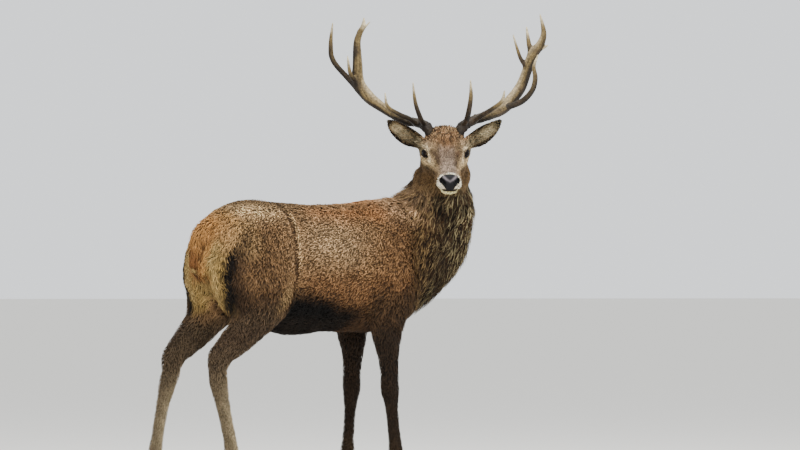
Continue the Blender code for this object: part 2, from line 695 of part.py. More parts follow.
# Each route runs from root to tip: outwards, forwards and up from between the coronets, and radius.
ANTLERS = {
    "right": {
        "beam": [
            (0.076, 0.000, 0.000, 0.023),
            (0.111, -0.034, 0.022, 0.018),
            (0.162, -0.060, 0.031, 0.020),
            (0.257, -0.100, 0.089, 0.021),
            (0.316, -0.125, 0.138, 0.026),
            (0.355, -0.130, 0.196, 0.026),
            (0.362, -0.105, 0.274, 0.021),
            (0.366, -0.070, 0.372, 0.015),
            (0.344, -0.045, 0.434, 0.010),
            (0.341, -0.035, 0.468, 0.004),
        ],
        "brow_tine": [
            (0.087, 0.000, 0.010, 0.012),
            (0.109, 0.065, 0.034, 0.011),
            (0.139, 0.130, 0.097, 0.009),
            (0.154, 0.165, 0.182, 0.004),
        ],
        "bez_tine": [
            (0.115, -0.030, 0.014, 0.012),
            (0.154, 0.020, 0.036, 0.011),
            (0.199, 0.060, 0.052, 0.010),
            (0.254, 0.095, 0.085, 0.008),
            (0.267, 0.115, 0.141, 0.004),
        ],
        "trez_tine": [
            (0.357, -0.130, 0.172, 0.015),
            (0.401, -0.140, 0.216, 0.012),
            (0.466, -0.115, 0.289, 0.0115),
            (0.479, -0.085, 0.356, 0.010),
            (0.474, -0.050, 0.446, 0.004),
        ],
        "royal_tine": [
            (0.368, -0.122, 0.195, 0.010),
            (0.396, -0.082, 0.233, 0.009),
            (0.409, -0.065, 0.306, 0.004),
        ],
        "crown_tine": [
            (0.358, -0.056, 0.410, 0.007),
            (0.336, -0.036, 0.428, 0.005),
            (0.317, -0.020, 0.450, 0.004),
        ],
    },
    "left": {
        "beam": [
            (0.076, 0.000, 0.000, 0.023),
            (0.124, -0.032, 0.030, 0.020),
            (0.190, -0.052, 0.053, 0.022),
            (0.261, -0.090, 0.083, 0.024),
            (0.304, -0.115, 0.125, 0.025),
            (0.346, -0.125, 0.181, 0.024),
            (0.371, -0.110, 0.249, 0.021),
            (0.393, -0.085, 0.319, 0.023),
            (0.421, -0.066, 0.359, 0.018),
            (0.435, -0.050, 0.410, 0.012),
            (0.416, -0.030, 0.488, 0.004),
        ],
        "brow_tine": [
            (0.081, 0.000, 0.010, 0.012),
            (0.090, 0.065, 0.038, 0.012),
            (0.097, 0.130, 0.119, 0.010),
            (0.092, 0.160, 0.194, 0.004),
        ],
        "bez_tine": [
            (0.121, -0.030, 0.024, 0.012),
            (0.156, 0.020, 0.050, 0.011),
            (0.200, 0.062, 0.079, 0.010),
            (0.236, 0.090, 0.110, 0.009),
            (0.245, 0.105, 0.154, 0.004),
        ],
        "trez_tine": [
            (0.265, -0.090, 0.086, 0.014),
            (0.339, -0.055, 0.114, 0.013),
            (0.381, -0.025, 0.160, 0.012),
            (0.392, -0.005, 0.212, 0.011),
            (0.385, 0.004, 0.262, 0.008),
            (0.402, 0.010, 0.312, 0.004),
        ],
        "inner_crown_tine": [
            (0.370, -0.104, 0.262, 0.011),
            (0.342, -0.090, 0.298, 0.009),
            (0.325, -0.080, 0.340, 0.007),
            (0.305, -0.070, 0.402, 0.004),
        ],
        "middle_crown_tine": [
            (0.386, -0.086, 0.318, 0.012),
            (0.374, -0.080, 0.369, 0.010),
            (0.363, -0.070, 0.437, 0.004),
        ],
        "outer_crown_tine": [
            (0.408, -0.072, 0.344, 0.007),
            (0.436, -0.066, 0.346, 0.006),
            (0.456, -0.062, 0.358, 0.004),
        ],
    },
}


def horn_tube(name, side, rows, extra, where):
    """A tapering round horn along a route in the brow's frame, closed at both ends."""
    frame = brow_frame()
    curve = bpy.data.curves.new(name, "CURVE")
    curve.dimensions, curve.bevel_depth, curve.bevel_resolution, curve.use_fill_caps = "3D", 1.0, 2, True
    spline = curve.splines.new("POLY")
    route = through(rows, 2)
    route[0, :3] -= extra * unit(route[1, :3] - route[0, :3])
    route[-1, :3] += extra * unit(route[-1, :3] - route[-2, :3])
    spline.points.add(len(route) - 1)
    for point, (out, forward, up, radius) in zip(spline.points, route):
        point.co = (*(frame @ Vector((forward, side * out, up))), 1)
        point.radius = radius + extra
    tube = bpy.data.objects.new(name, curve)
    where.objects.link(tube)
    mesh = bpy.data.meshes.new_from_object(tube.evaluated_get(bpy.context.evaluated_depsgraph_get()))
    bpy.data.objects.remove(tube, do_unlink=True)
    shell = bmesh.new()
    shell.from_mesh(mesh)
    bmesh.ops.remove_doubles(shell, verts=shell.verts, dist=1e-5)
    bmesh.ops.recalc_face_normals(shell, faces=shell.faces)
    shell.to_mesh(mesh)
    shell.free()
    made = bpy.data.objects.new(name, mesh)
    where.objects.link(made)
    return made


def antlers(head_piece, groups):
    """Each beam stands on its pedicle, and each tine on the beam, which is cut out of the tine's root."""
    model, cutters = groups
    pieces = []
    for word, side in SIDES.items():
        grown = {}
        for limb, rows in ANTLERS[word].items():
            piece = horn_tube(f"antler_{word}_{limb}", side, rows, 0.0, model)
            grown[limb] = horn_tube(f"antler_{word}_{limb}_grown", side, rows, GAP, cutters)
            grown[limb].hide_render, grown[limb].display_type = True, "WIRE"
            if limb != "beam":
                cut(piece, grown["beam"])
            pieces.append(piece)
        cut(head_piece, grown["beam"])
        cut(head_piece, grown["brow_tine"])
    return pieces


# ---- The whole stag ----


def main():
    clear()
    groups = collection(NAME), collection("cutters")
    groups[1].hide_render = True
    body = flesh(groups[0])
    parted = {piece.name: piece for piece in part_flesh(body, groups)}
    globes = eyes(parted["head"], groups)
    horn = feet(parted, groups)
    crown = antlers(parted["head"], groups)
    looks = (
        ([body, *parted.values()], material("coat", (0.50, 0.38, 0.27), 0.85)),
        (globes, material("eye", (0.05, 0.04, 0.04), 0.10)),
        (horn, material("hoof_horn", (0.13, 0.11, 0.10), 0.50)),
        (crown, material("antler", (0.55, 0.48, 0.38), 0.60)),
    )
    for pieces, look in looks:
        for piece in pieces:
            tidy(piece)
            piece.data.transform(Matrix.Translation((-ORIGIN_X, -ORIGIN_Y, 0)))
            piece.data.materials.clear()
            piece.data.materials.append(look)


main()
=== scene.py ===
"""Red deer stag, life size, still: its skin and coat, eyes, horn and antlers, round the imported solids.

Lengths are metres. The stag faces +X with its left side at +Y, and its head looks back to its right.
"""

import json
import math

import bmesh
import bpy
import numpy as np
from mathutils import Matrix, Vector

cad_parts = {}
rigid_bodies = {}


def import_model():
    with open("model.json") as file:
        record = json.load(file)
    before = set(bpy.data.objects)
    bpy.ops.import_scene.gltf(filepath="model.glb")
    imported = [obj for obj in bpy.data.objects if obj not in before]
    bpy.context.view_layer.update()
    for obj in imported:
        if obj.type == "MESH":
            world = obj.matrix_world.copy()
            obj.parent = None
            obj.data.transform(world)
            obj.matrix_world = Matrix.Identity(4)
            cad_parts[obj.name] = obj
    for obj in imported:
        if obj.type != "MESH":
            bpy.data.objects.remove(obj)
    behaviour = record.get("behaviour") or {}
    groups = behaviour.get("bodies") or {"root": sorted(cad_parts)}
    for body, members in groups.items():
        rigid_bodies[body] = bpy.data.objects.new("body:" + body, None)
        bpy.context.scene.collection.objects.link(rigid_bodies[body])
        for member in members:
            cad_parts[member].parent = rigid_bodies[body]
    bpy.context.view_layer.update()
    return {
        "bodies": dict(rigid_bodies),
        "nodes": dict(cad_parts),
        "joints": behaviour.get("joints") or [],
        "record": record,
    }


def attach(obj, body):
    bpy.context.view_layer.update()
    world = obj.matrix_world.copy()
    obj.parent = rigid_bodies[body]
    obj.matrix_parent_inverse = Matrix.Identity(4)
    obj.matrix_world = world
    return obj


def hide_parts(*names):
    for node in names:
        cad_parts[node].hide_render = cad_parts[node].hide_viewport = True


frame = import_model()


# ---- Studio ----
# A pale painted floor that runs out to a pale room, with a broad soft light overhead like an open
# sky, a weaker one from the front, and a long lens held low, as for an animal seen across a field.


def linear(text):
    """An sRGB hex colour as linear red, green and blue."""
    parts = np.array([int(text[i : i + 2], 16) / 255 for i in (0, 2, 4)])
    return np.where(parts <= 0.04045, parts / 12.92, ((parts + 0.055) / 1.055) ** 2.4)


def surface(name):
    """A new material with its node tree and its shader."""
    made = bpy.data.materials.new(name)
    made.use_nodes = True
    return made, made.node_tree, made.node_tree.nodes["Principled BSDF"]


def node(tree, kind, feeds=None, **settings):
    """Adds a node, or sets one that is there.

    Settings name its properties or number sockets; feeds gives sockets a node's first output, an output,
    or an sRGB hex colour.
    """
    made = tree.nodes.new(f"ShaderNode{kind}") if isinstance(kind, str) else kind
    for key, value in settings.items():
        if hasattr(made, key):
            setattr(made, key, value)
        else:
            made.inputs[key.replace("_", " ")].default_value = value
    for key, source in (feeds or {}).items():
        if isinstance(source, str):
            made.inputs[key].default_value = (*linear(source), 1)
        else:
            tree.links.new(getattr(source, "outputs", [source])[0], made.inputs[key])
    return made


FLOOR_SIZE = 600.0
floor_mesh = bpy.data.meshes.new("floor")
floor_corners = [(a * FLOOR_SIZE, b * FLOOR_SIZE, 0) for a, b in ((-1, -1), (1, -1), (1, 1), (-1, 1))]
floor_mesh.from_pydata(floor_corners, [], [(0, 1, 2, 3)])
floor = bpy.data.objects.new("floor", floor_mesh)
bpy.context.scene.collection.objects.link(floor)
# Matt emulsion, a little warmer than the room.
floor_paint, tree, shader = surface("pale_floor_paint")
node(tree, shader, {"Base Color": "e4e1da"}, Roughness=0.9)
floor_mesh.materials.append(floor_paint)

world = bpy.data.worlds.new("pale_room")
world.use_nodes = True
node(world.node_tree, world.node_tree.nodes["Background"], {"Color": "e6e9ec"}, Strength=1.60)
bpy.context.scene.world = world


def area_light(name, place, aim, size, watts):
    """A square soft light at a place, turned to face a point."""
    lamp = bpy.data.lights.new(name, "AREA")
    lamp.size, lamp.energy = size, watts
    made = bpy.data.objects.new(name, lamp)
    made.location = place
    made.rotation_euler = (Vector(aim) - Vector(place)).to_track_quat("-Z", "Y").to_euler()
    bpy.context.scene.collection.objects.link(made)


area_light("sky", (-0.5, -2.0, 5.5), (0, 0, 0.9), 5.0, 440)
area_light("front", (-3.0, -6.5, 2.6), (0, 0, 1.0), 4.0, 220)

VIEW_TURN = math.radians(-36.0)  # the camera stands off the stag's right side, a little behind square
VIEW_DISTANCE = 18.0
VIEW_HEIGHT = 0.78
AIM_RIGHT, AIM_HEIGHT = 0.458, 1.071  # what the middle of the frame looks at, beside the trunk's origin
TRUNK_ORIGIN = np.array((0.223, -0.087, 0.0))  # middle of the whole footprint, in the trunk's own frame

SENSOR, LENS = 36.0, 192.9  # millimetres

view_along = Vector((-math.sin(VIEW_TURN), math.cos(VIEW_TURN), 0))
view_right = Vector((math.cos(VIEW_TURN), math.sin(VIEW_TURN), 0))
camera_data = bpy.data.cameras.new("camera")
camera_data.sensor_width, camera_data.lens = SENSOR, LENS
camera = bpy.data.objects.new("camera", camera_data)
camera.location = -VIEW_DISTANCE * view_along + Vector((0, 0, VIEW_HEIGHT)) - Vector(TRUNK_ORIGIN)
aim = AIM_RIGHT * view_right + Vector((0, 0, AIM_HEIGHT)) - Vector(TRUNK_ORIGIN)
camera.rotation_euler = (aim - camera.location).to_track_quat("-Z", "Y").to_euler()
bpy.context.scene.collection.objects.link(camera)
bpy.context.scene.camera = camera


# ---- Flesh under the coat ----
# The body of bone and muscle that carries the skin. Limbs, neck and trunk are bodies swept through oval
# stations, muscles are ellipsoids, and they are blended into one form, written as a distance that is
# negative inside, because no grid of two parameters covers a body with legs, ears and a turned neck.

HEAD_YAW, HEAD_PITCH = math.radians(-122.7), math.radians(-30.0)
CROWN_YAW = math.radians(-121.2)
EYE_MIDDLE = (0.6625, -0.2040, 1.373)
CORONET = (-0.088, 0.0745, 0.086)
SIDES = {"right": -1, "left": 1}

head_frame = Matrix.Translation(EYE_MIDDLE) @ Matrix.Rotation(HEAD_YAW, 4, "Z")
head_frame = head_frame @ Matrix.Rotation(-HEAD_PITCH, 4, "Y")
brow_frame = Matrix.Translation(head_frame @ Vector((CORONET[0], 0.0, CORONET[2])))
brow_frame = brow_frame @ Matrix.Rotation(CROWN_YAW, 4, "Z")


def through(rows, steps):
    """A smooth cubic curve (Catmull-Rom) through rows of numbers, with a few steps to each span."""
    rows = np.asarray(rows, float)
    padded = np.vstack([2 * rows[0] - rows[1], rows, 2 * rows[-1] - rows[-2]])
    t = np.linspace(0, 1, steps, endpoint=False)[None, :, None]
    before, start, end, after = (padded[k : k + len(rows) - 1][:, None] for k in range(4))
    spans = (
        start
        + 0.5 * t * (end - before)
        + t**2 * (before - 2.5 * start + 2 * end - 0.5 * after)
        + 0.5 * t**3 * (3 * (start - end) + after - before)
    )
    return np.vstack([spans.reshape(-1, rows.shape[1]), rows[-1:]])


def unit(vectors):
    """Vectors of length one."""
    return vectors / np.maximum(np.linalg.norm(vectors, axis=-1, keepdims=True), 1e-9)


class Loft:
    """A body swept through stations of centre, half width, and reach to and away from its top side."""

    def __init__(self, stations, top, power=2.2, steps=6):
        rows = through(stations, steps)
        self.path, self.sizes, self.power = rows[:, :3], rows[:, 3:6], power
        self.along = unit(np.gradient(self.path, axis=0))
        tops = np.array(top, float)
        if tops.ndim == 2:
            tops = through(tops, steps)
        self.side = unit(np.cross(tops, self.along))
        self.top = np.cross(self.along, self.side)
        reach = self.sizes.max() + 0.01
        self.low, self.high = self.path.min(0) - reach, self.path.max(0) + reach

    def locate(self, x, y, z):
        """The squared gap to the path, the place along it, and the offsets across and above it there."""
        nearest = np.full(np.broadcast(x, y, z).shape, np.inf, np.float32)
        place = np.zeros(nearest.shape, np.float32)
        for i, (start, end) in enumerate(zip(self.path, self.path[1:])):
            span = end - start
            dx, dy, dz = x - start[0], y - start[1], z - start[2]
            t = np.clip((dx * span[0] + dy * span[1] + dz * span[2]) / (span @ span), 0, 1)
            gap = (dx - t * span[0]) ** 2 + (dy - t * span[1]) ** 2 + (dz - t * span[2]) ** 2
            closer = gap < nearest
            nearest = np.where(closer, gap, nearest)
            place = np.where(closer, i + t, place)
        off = [v - self.at(place, self.path[:, k]) for k, v in enumerate((x, y, z))]
        across = sum(o * self.at(place, self.side[:, k]) for k, o in enumerate(off))
        above = sum(o * self.at(place, self.top[:, k]) for k, o in enumerate(off))
        return nearest, place, across, above

    def at(self, place, values):
        """Values given for the path's points, or rows of them, at places along it."""
        if values.ndim > 1:
            return np.stack([self.at(place, column) for column in values.T], axis=-1)
        return np.interp(place, np.arange(len(self.path)), values)

    def distance(self, x, y, z):
        """How far points lie outside: the gap to the path, less its share inside the rounded oval there."""
        nearest, place, across, above = self.locate(x, y, z)
        wide, up, down = (self.at(place, column) for column in self.sizes.T)
        deep = np.where(above > 0, up, down)
        flat = across**2 + above**2 + 1e-12
        beyond = (place <= 0) | (place >= len(self.path) - 1)
        stretch = np.where(beyond, 1, np.sqrt(nearest / flat))
        ends = np.where(beyond, np.sqrt(np.maximum(nearest - flat, 0)), 0) / np.minimum(wide, deep)
        shares = np.abs(across) * stretch / wide, np.abs(above) * stretch / deep, ends
        ratio = np.maximum(sum(share**self.power for share in shares), 1e-9) ** (1 / self.power)
        return np.sqrt(nearest + 1e-12) * (1 - 1 / ratio)


class Muscle:
    """An ellipsoid: centre, three half lengths, and its tilt about the Y axis, nose down positive."""

    def __init__(self, centre, halves, tilt=0.0, frame=None):
        turn = Matrix.Translation(centre) @ Matrix.Rotation(math.radians(tilt), 4, "Y")
        placed_at = (frame or Matrix.Identity(4)) @ turn
        self.centre = np.array(placed_at.translation)
        self.axes = np.array(placed_at.to_3x3()).T
        self.halves = np.array(halves, float)
        reach = self.halves.max() + 0.01
        self.low, self.high = self.centre - reach, self.centre + reach

    def distance(self, x, y, z):
        """How far points lie outside: the way to the centre, less its share inside the ellipsoid."""
        off = (x - self.centre[0], y - self.centre[1], z - self.centre[2])
        parts = [sum(a * o for a, o in zip(axis, off)) for axis in self.axes]
        ratio = np.sqrt(sum((p / h) ** 2 for p, h in zip(parts, self.halves)) + 1e-12)
        length = np.sqrt(sum(p**2 for p in parts) + 1e-12)
        return length * (1 - 1 / ratio)


def blend(a, b, radius):
    """The union of two distances, filleted over the radius."""
    h = np.clip(0.5 + 0.5 * (b - a) / radius, 0, 1)
    return b + (a - b) * h - radius * h * (1 - h)


def placed(axes, stations):
    """Stations given in a frame, moved into the trunk's."""
    rows = np.array(stations, float)
    rows[:, :3] = [axes @ Vector(row) for row in rows[:, :3]]
    return rows


def metres(*rows):
    """Lengths, or rows of them, from ones in millimetres."""
    return np.array(rows) / 1000


def muscles(rows, side=1, frame=None):
    """Muscles and their fillets, from rows of centre, half lengths, tilt in degrees and fillet."""
    made = []
    for x, y, z, long, wide, tall, tilt, fillet in rows:
        muscle = Muscle(metres(x, side * y, z), metres(long, wide, tall), tilt, frame)
        made.append((muscle, fillet / 1000))
    return made


BARREL = metres(  # x, y, z, half width, reach up, reach down
    (-435, 0, 910, 70, 140, 70), (-404, 0, 910, 112, 200, 125), (-345, 0, 910, 144, 236, 180),
    (-270, 0, 910, 168, 260, 225), (-180, 0, 910, 182, 265, 258), (-60, 0, 910, 196, 256, 277),
    (70, 0, 910, 208, 247, 285), (190, 0, 910, 214, 250, 289), (310, 0, 910, 204, 259, 291),
    (420, 0, 910, 188, 273, 290), (530, 0, 910, 170, 250, 250), (620, 0, 910, 130, 180, 180),
)
barrel = Loft(BARREL, (0, 0, 1), 2.3)
UNDER_TRUNK = [(0, 0, 640, 130, 30, 30, 0, 40), (-235, 0, 700, 40, 38, 65, 0, 30)]
trunk_form = [(barrel, 0.03), *muscles(UNDER_TRUNK)]
HAUNCH_AND_SHOULDER = [
    (-352, 92, 888, 116, 80, 200, 0, 50), (-210, 100, 1000, 150, 80, 120, 12, 70),
    (405, 95, 920, 130, 88, 215, 22, 70), (435, 125, 800, 125, 72, 135, 0, 60),
]
for side in (-1, 1):
    trunk_form += muscles(HAUNCH_AND_SHOULDER, side)

TAIL = metres(
    (-380, 0, 1085, 40, 34, 34), (-448, 0, 1062, 42, 28, 30), (-480, 0, 1000, 44, 25, 34),
    (-478, 0, 935, 37, 21, 30), (-472, 0, 872, 16, 12, 16),
)
tail = Loft(TAIL, (-1, 0, 0.8))

FORE_SIZES = metres(  # height, distance from the middle, half width, reach forward, reach back
    (800, 140, 62, 100, 105), (700, 140, 56, 84, 98), (617, 132, 47, 74, 78), (520, 125, 38, 51, 50),
    (440, 120, 34, 42, 42), (370, 116, 36, 41, 40), (300, 114, 26, 28.5, 30),
    (220, 112, 23.5, 27.5, 28.5), (150, 111, 25, 29, 31), (112, 110, 29, 31, 37),
    (68, 110, 29, 31, 30), (25, 110, 30, 32, 31),
)
THIGH_SIZES = metres(
    (1000, 92, 75, 120, 120), (910, 116, 92, 155, 155), (820, 130, 92, 162, 158),
    (750, 136, 82, 130, 122),
)
GASKIN_SIZES = metres(
    (775, 138, 84, 112, 100), (685, 140, 68, 98, 68), (605, 136, 53, 80, 60), (545, 131, 42, 58, 54),
    (508, 128, 36, 46, 46),
)
CANNON_SIZES = metres(
    (505, 127, 35, 46, 42), (450, 124, 33, 42, 46), (386, 121, 27, 37, 42), (320, 119, 24.5, 32, 33),
    (250, 117, 24, 30, 30), (170, 115, 25.5, 30, 31), (118, 113, 29, 31, 37), (68, 112, 29, 31, 30),
    (25, 110, 30, 32, 31),
)
# How far forward each station of a leg stands; the left hind leg is set well back.
FORE_X = {
    "right": metres(440, 415, 408, 418, 428, 434, 446, 456, 467, 474, 490, 503),
    "left": metres(435, 420, 421, 416, 408, 404, 396, 388, 382, 380, 393, 404),
}
THIGH_X = {
    "right": metres(-250, -262, -266, -262),
    "left": metres(-255, -272, -287, -301),
}
GASKIN_X = {
    "right": metres(-215, -298, -374, -432, -460),
    "left": metres(-272, -352, -428, -488, -517),
}
CANNON_X = {
    "right": metres(-464, -459, -446, -430, -411, -391, -380, -362, -346),
    "left": metres(-518, -526, -548, -569, -586, -601, -608, -596, -584),
}
FORWARD = (1, 0, 0)


def leg_loft(xs, sizes, side):
    """A leg's body through its stations, given how far forward each one stands."""
    return Loft([(x, side * row[1], row[0], *row[2:]) for x, row in zip(xs, sizes)], FORWARD)


leg_lofts = {}
leg_form = []
for word, side in SIDES.items():
    fore = leg_loft(FORE_X[word], FORE_SIZES, side)
    thigh = leg_loft(THIGH_X[word], THIGH_SIZES, side)
    gaskin = leg_loft(GASKIN_X[word], GASKIN_SIZES, side)
    cannon = leg_loft(CANNON_X[word], CANNON_SIZES, side)
    point_of_hock = [
        (CANNON_X[word][0] + back, side * 0.127, z, radius, radius, radius)
        for back, z, radius in ((0.006, 0.495, 0.026), (-0.020, 0.530, 0.021), (-0.030, 0.550, 0.015))
    ]
    leg_lofts[f"fore_{word}"] = [fore]
    leg_lofts[f"hind_{word}"] = [thigh, gaskin, cannon]
    leg_form += [(fore, 0.03), (thigh, 0.05), (gaskin, 0.04), (cannon, 0.02)]
    leg_form.append((Loft(point_of_hock, FORWARD, 2.0), 0.02))

NECK = metres(
    (400, 0, 920, 165, 230, 270), (520, -4, 1000, 165, 192, 304), (625, -20, 1090, 157, 140, 306),
    (700, -50, 1190, 138, 122, 226), (738, -80, 1290, 112, 108, 144), (734, -98, 1350, 100, 90, 100),
    (728, -105, 1385, 84, 70, 84),
)
nape_swing = np.radians([180, 178, 170, 150, 125, 100, 80])
napes = np.stack([np.cos(nape_swing), np.sin(nape_swing), np.linspace(0.6, 0.1, 7)], axis=1)
neck = Loft(NECK, napes, 2.1)
BRISKET = [(664, -20, 972, 166, 145, 190, 25, 60), (562, -10, 788, 66, 70, 85, 25, 50)]
neck_form = [(neck, 0.05), *muscles(BRISKET)]

SKULL = metres(
    (-130, 0, 0, 60, 48, 70), (-90, 0, 5, 84, 70, 98), (-45, 0, 0, 99, 82, 98),
    (0, 0, -8, 103, 72, 86), (45, 0, -12, 84, 58, 73), (90, 0, -14, 67, 53, 62),
    (135, 0, -16, 57, 49, 54), (175, 0, -18, 58, 46, 52), (208, 0, -20, 59, 43, 50),
    (224, 0, -20, 52, 38, 42),
)
head_up = head_frame.to_3x3() @ Vector((0, 0, 1))
skull = Loft(placed(head_frame, SKULL), head_up, 2.3)
CROWN_AND_MUZZLE = [
    (-85, 0, 57, 45, 68, 40, 0, 20), (221, 0, 1, 25, 47, 31, 12, 12), (207, 0, -52, 33, 39, 22, 0, 10),
]
head_form = [(skull, 0.06), *muscles(CROWN_AND_MUZZLE, frame=head_frame)]
BROW_AND_CHEEK = [(-20, 87, 15, 36, 22, 32, 0, 20), (-40, 52, -48, 70, 36, 52, 20, 30)]
ear_lofts = {}
for word, side in SIDES.items():
    pedicle = metres(
        (-70, side * 50, 45, 26, 26, 26), (-78, side * 62, 62, 21, 21, 21),
        (-84, side * 70, 74, 17, 17, 17),
    )
    head_form += muscles(BROW_AND_CHEEK, side, head_frame)
    head_form.append((Loft(placed(head_frame, pedicle), head_up, 2.0), 0.02))
    ear = metres(
        (10, side * 92, -72, 24, 20, 20), (4, side * 118, -58, 33, 20, 22),
        (-6, side * 152, -42, 41, 17, 22), (-14, side * 188, -18, 39, 14, 19),
        (-18, side * 221, 9, 27, 11, 14), (-16, side * 243, 31, 12, 9, 9),
    )
    ear_front = brow_frame.to_3x3() @ Vector((1.0, 0.35 * side, -0.15))
    ear_lofts[word] = Loft(placed(brow_frame, ear), ear_front, 2.0)
ear_form = [(ear_lofts[word], 0.010) for word in SIDES]
stag_form = [*trunk_form, (tail, 0.02), *leg_form, *neck_form, *head_form, *ear_form]


def ramp(value, low, high):
    """0 below low, 1 above high, with a smooth step between; low may be the larger."""
    t = np.clip((value - low) / (high - low), 0, 1)
    return t * t * (3 - 2 * t)


def within(axes, x, y, z):
    """Coordinates in a frame of points given in the trunk's."""
    back = np.array(axes.inverted())
    return tuple(row[0] * x + row[1] * y + row[2] * z + row[3] for row in back[:3])


def on_head(points):
    """Points forward, outward to the left and up in the head's frame."""
    return np.stack(within(head_frame, *points.T), axis=1)


def parts_of_body(x, y, z):
    """How far each point belongs to the mane, upper and lower leg, tail, head and ear, from 0 to 1."""
    forward, _, up = within(head_frame, x, y, z)
    _, level_left, level_up = within(brow_frame, x, y, z)
    head = ramp(forward, -0.135, -0.055) * ramp(up, -0.175, -0.115) * ramp(z, 1.12, 1.18)
    ear = ramp(np.abs(level_left), 0.088, 0.108) * ramp(level_up, -0.125, -0.100)
    ear = ear * ramp(x, 0.45, 0.50) * (1 - ramp(level_up, 0.06, 0.09))
    mane = ramp(x, 0.46, 0.60) * ramp(z, 0.66, 0.78) * (1 - head)
    shank = ramp(z, 0.50, 0.38)
    thigh = ramp(z, 0.74, 0.56) * (1 - shank)
    tail_share = ramp(x, -0.425, -0.450) * ramp(np.abs(y), 0.060, 0.045) * ramp(z, 0.80, 0.86)
    return {"mane": mane, "thigh": thigh, "shank": shank, "tail": tail_share, "head": head, "ear": ear}


def by_part(body, values):
    """A number for each point, from those of the trunk, mane, upper and lower leg, tail, head and ear."""
    total = values[0]
    for share, value in zip(body.values(), values[1:]):
        total = total + (value - total) * share
    return total


COAT_DEPTH = metres(13, 34, 8.5, 4.5, 16, 4.5, 1)  # how far the skin lies under the coat's outline


def spaced(*stops):
    """Grid lines through stops of (start, cell), the last one closing the row."""
    lines = []
    for (start, cell), (end, _) in zip(stops, stops[1:]):
        lines.append(np.linspace(start, end, max(round((end - start) / cell), 1), endpoint=False))
    return np.concatenate([*lines, [stops[-1][0]]])


def sample(form, lines, reach):
    """The blended distance on the grid, clipped; each part is worked out in the block round it."""
    lines = [line.astype(np.float32) for line in lines]
    field = np.full([len(line) for line in lines], 1.0, np.float32)
    for solid, radius in form:
        margin = radius + 0.02
        block = []
        for line, low, high in zip(lines, solid.low - margin, solid.high + margin):
            block.append(slice(*np.searchsorted(line, [low, high])))
        block = tuple(block)
        x, y, z = np.ix_(*(line[cut] for line, cut in zip(lines, block)))
        field[block] = blend(field[block], solid.distance(x, y, z), radius)
    return np.clip(field, -reach, reach)


def softened(field):
    """Each value averaged with its neighbours on the three axes: no crease is sharper than a cell."""
    for axis in range(3):
        padded = np.pad(field, [(1, 1) if k == axis else (0, 0) for k in range(3)], "edge")
        size = field.shape[axis]
        before, after = (np.take(padded, np.arange(start, start + size), axis) for start in (0, 2))
        field = 0.5 * field + 0.25 * (before + after)
    return field


CORNERS = np.array([(i, j, k) for i in (0, 1) for j in (0, 1) for k in (0, 1)])
EDGES = [(a, b) for a in range(8) for b in range(a + 1, 8) if np.abs(CORNERS[a] - CORNERS[b]).sum() == 1]


def net(field, lines):
    """Surface net: one vertex in each cell that the surface crosses, one quad round each crossed edge."""
    inside = field < 0
    shape = np.array(field.shape) - 1
    blocks = [tuple(slice(*pair) for pair in zip(low, high)) for low, high in zip(CORNERS, shape + CORNERS)]
    count = sum(inside[block].astype(np.int8) for block in blocks)
    crossed = (count > 0) & (count < len(CORNERS))
    cells = np.argwhere(crossed)
    number = np.full(shape, -1)
    number[crossed] = np.arange(len(cells))
    values, places = [], []
    for corner in CORNERS:
        at = cells + corner
        values.append(field[tuple(at.T)])
        places.append(np.stack([line[i] for line, i in zip(lines, at.T)], axis=1))
    total, hits = np.zeros((len(cells), 3)), np.zeros(len(cells))
    for a, b in EDGES:
        cut = (values[a] < 0) != (values[b] < 0)
        t = np.where(cut, values[a] / np.where(cut, values[a] - values[b], 1), 0)[:, None]
        total += np.where(cut[:, None], places[a] + t * (places[b] - places[a]), 0)
        hits += cut
    quads = []
    for axis in range(3):
        u, v = (axis + 1) % 3, (axis + 2) % 3
        low, high = [slice(1, -1)] * 3, [slice(1, -1)] * 3
        low[axis], high[axis] = slice(0, -1), slice(1, None)
        starts, ends = inside[tuple(low)], inside[tuple(high)]
        at = np.argwhere(starts != ends)
        out = starts[tuple(at.T)]
        at[:, u] += 1
        at[:, v] += 1
        ring = []
        for du, dv in ((-1, -1), (0, -1), (0, 0), (-1, 0)):
            cell = at.copy()
            cell[:, u] += du
            cell[:, v] += dv
            ring.append(number[tuple(cell.T)])
        ring = np.stack(ring, axis=1)
        quads.append(np.where(out[:, None], ring, ring[:, ::-1]))
    return total / hits[:, None], np.concatenate(quads)


def relaxed(vertices, quads, rounds, share=0.5):
    """Each vertex moved part of the way to the middle of its neighbours, a few times over."""
    pairs = np.concatenate([quads[:, [k, (k + 1) % 4]] for k in range(4)])
    pairs = np.concatenate([pairs, pairs[:, ::-1]])
    owner, neighbour = pairs.T
    count = np.bincount(owner, minlength=len(vertices))
    for _ in range(rounds):
        middle = [np.bincount(owner, column[neighbour], len(vertices)) / count for column in vertices.T]
        vertices = vertices + share * (np.stack(middle, axis=1) - vertices)
    return vertices


def probe(field, lines, points):
    """The field at points, by trilinear interpolation."""
    low, share = [], []
    for line, value in zip(lines, points.T):
        at = np.clip(np.searchsorted(line, value) - 1, 0, len(line) - 2)
        low.append(at)
        share.append(np.clip((value - line[at]) / (line[at + 1] - line[at]), 0, 1))
    total = np.zeros(len(points))
    for corner in CORNERS:
        weight = np.prod([s if c else 1 - s for s, c in zip(share, corner)], axis=0)
        total += weight * field[tuple(at + c for at, c in zip(low, corner))]
    return total


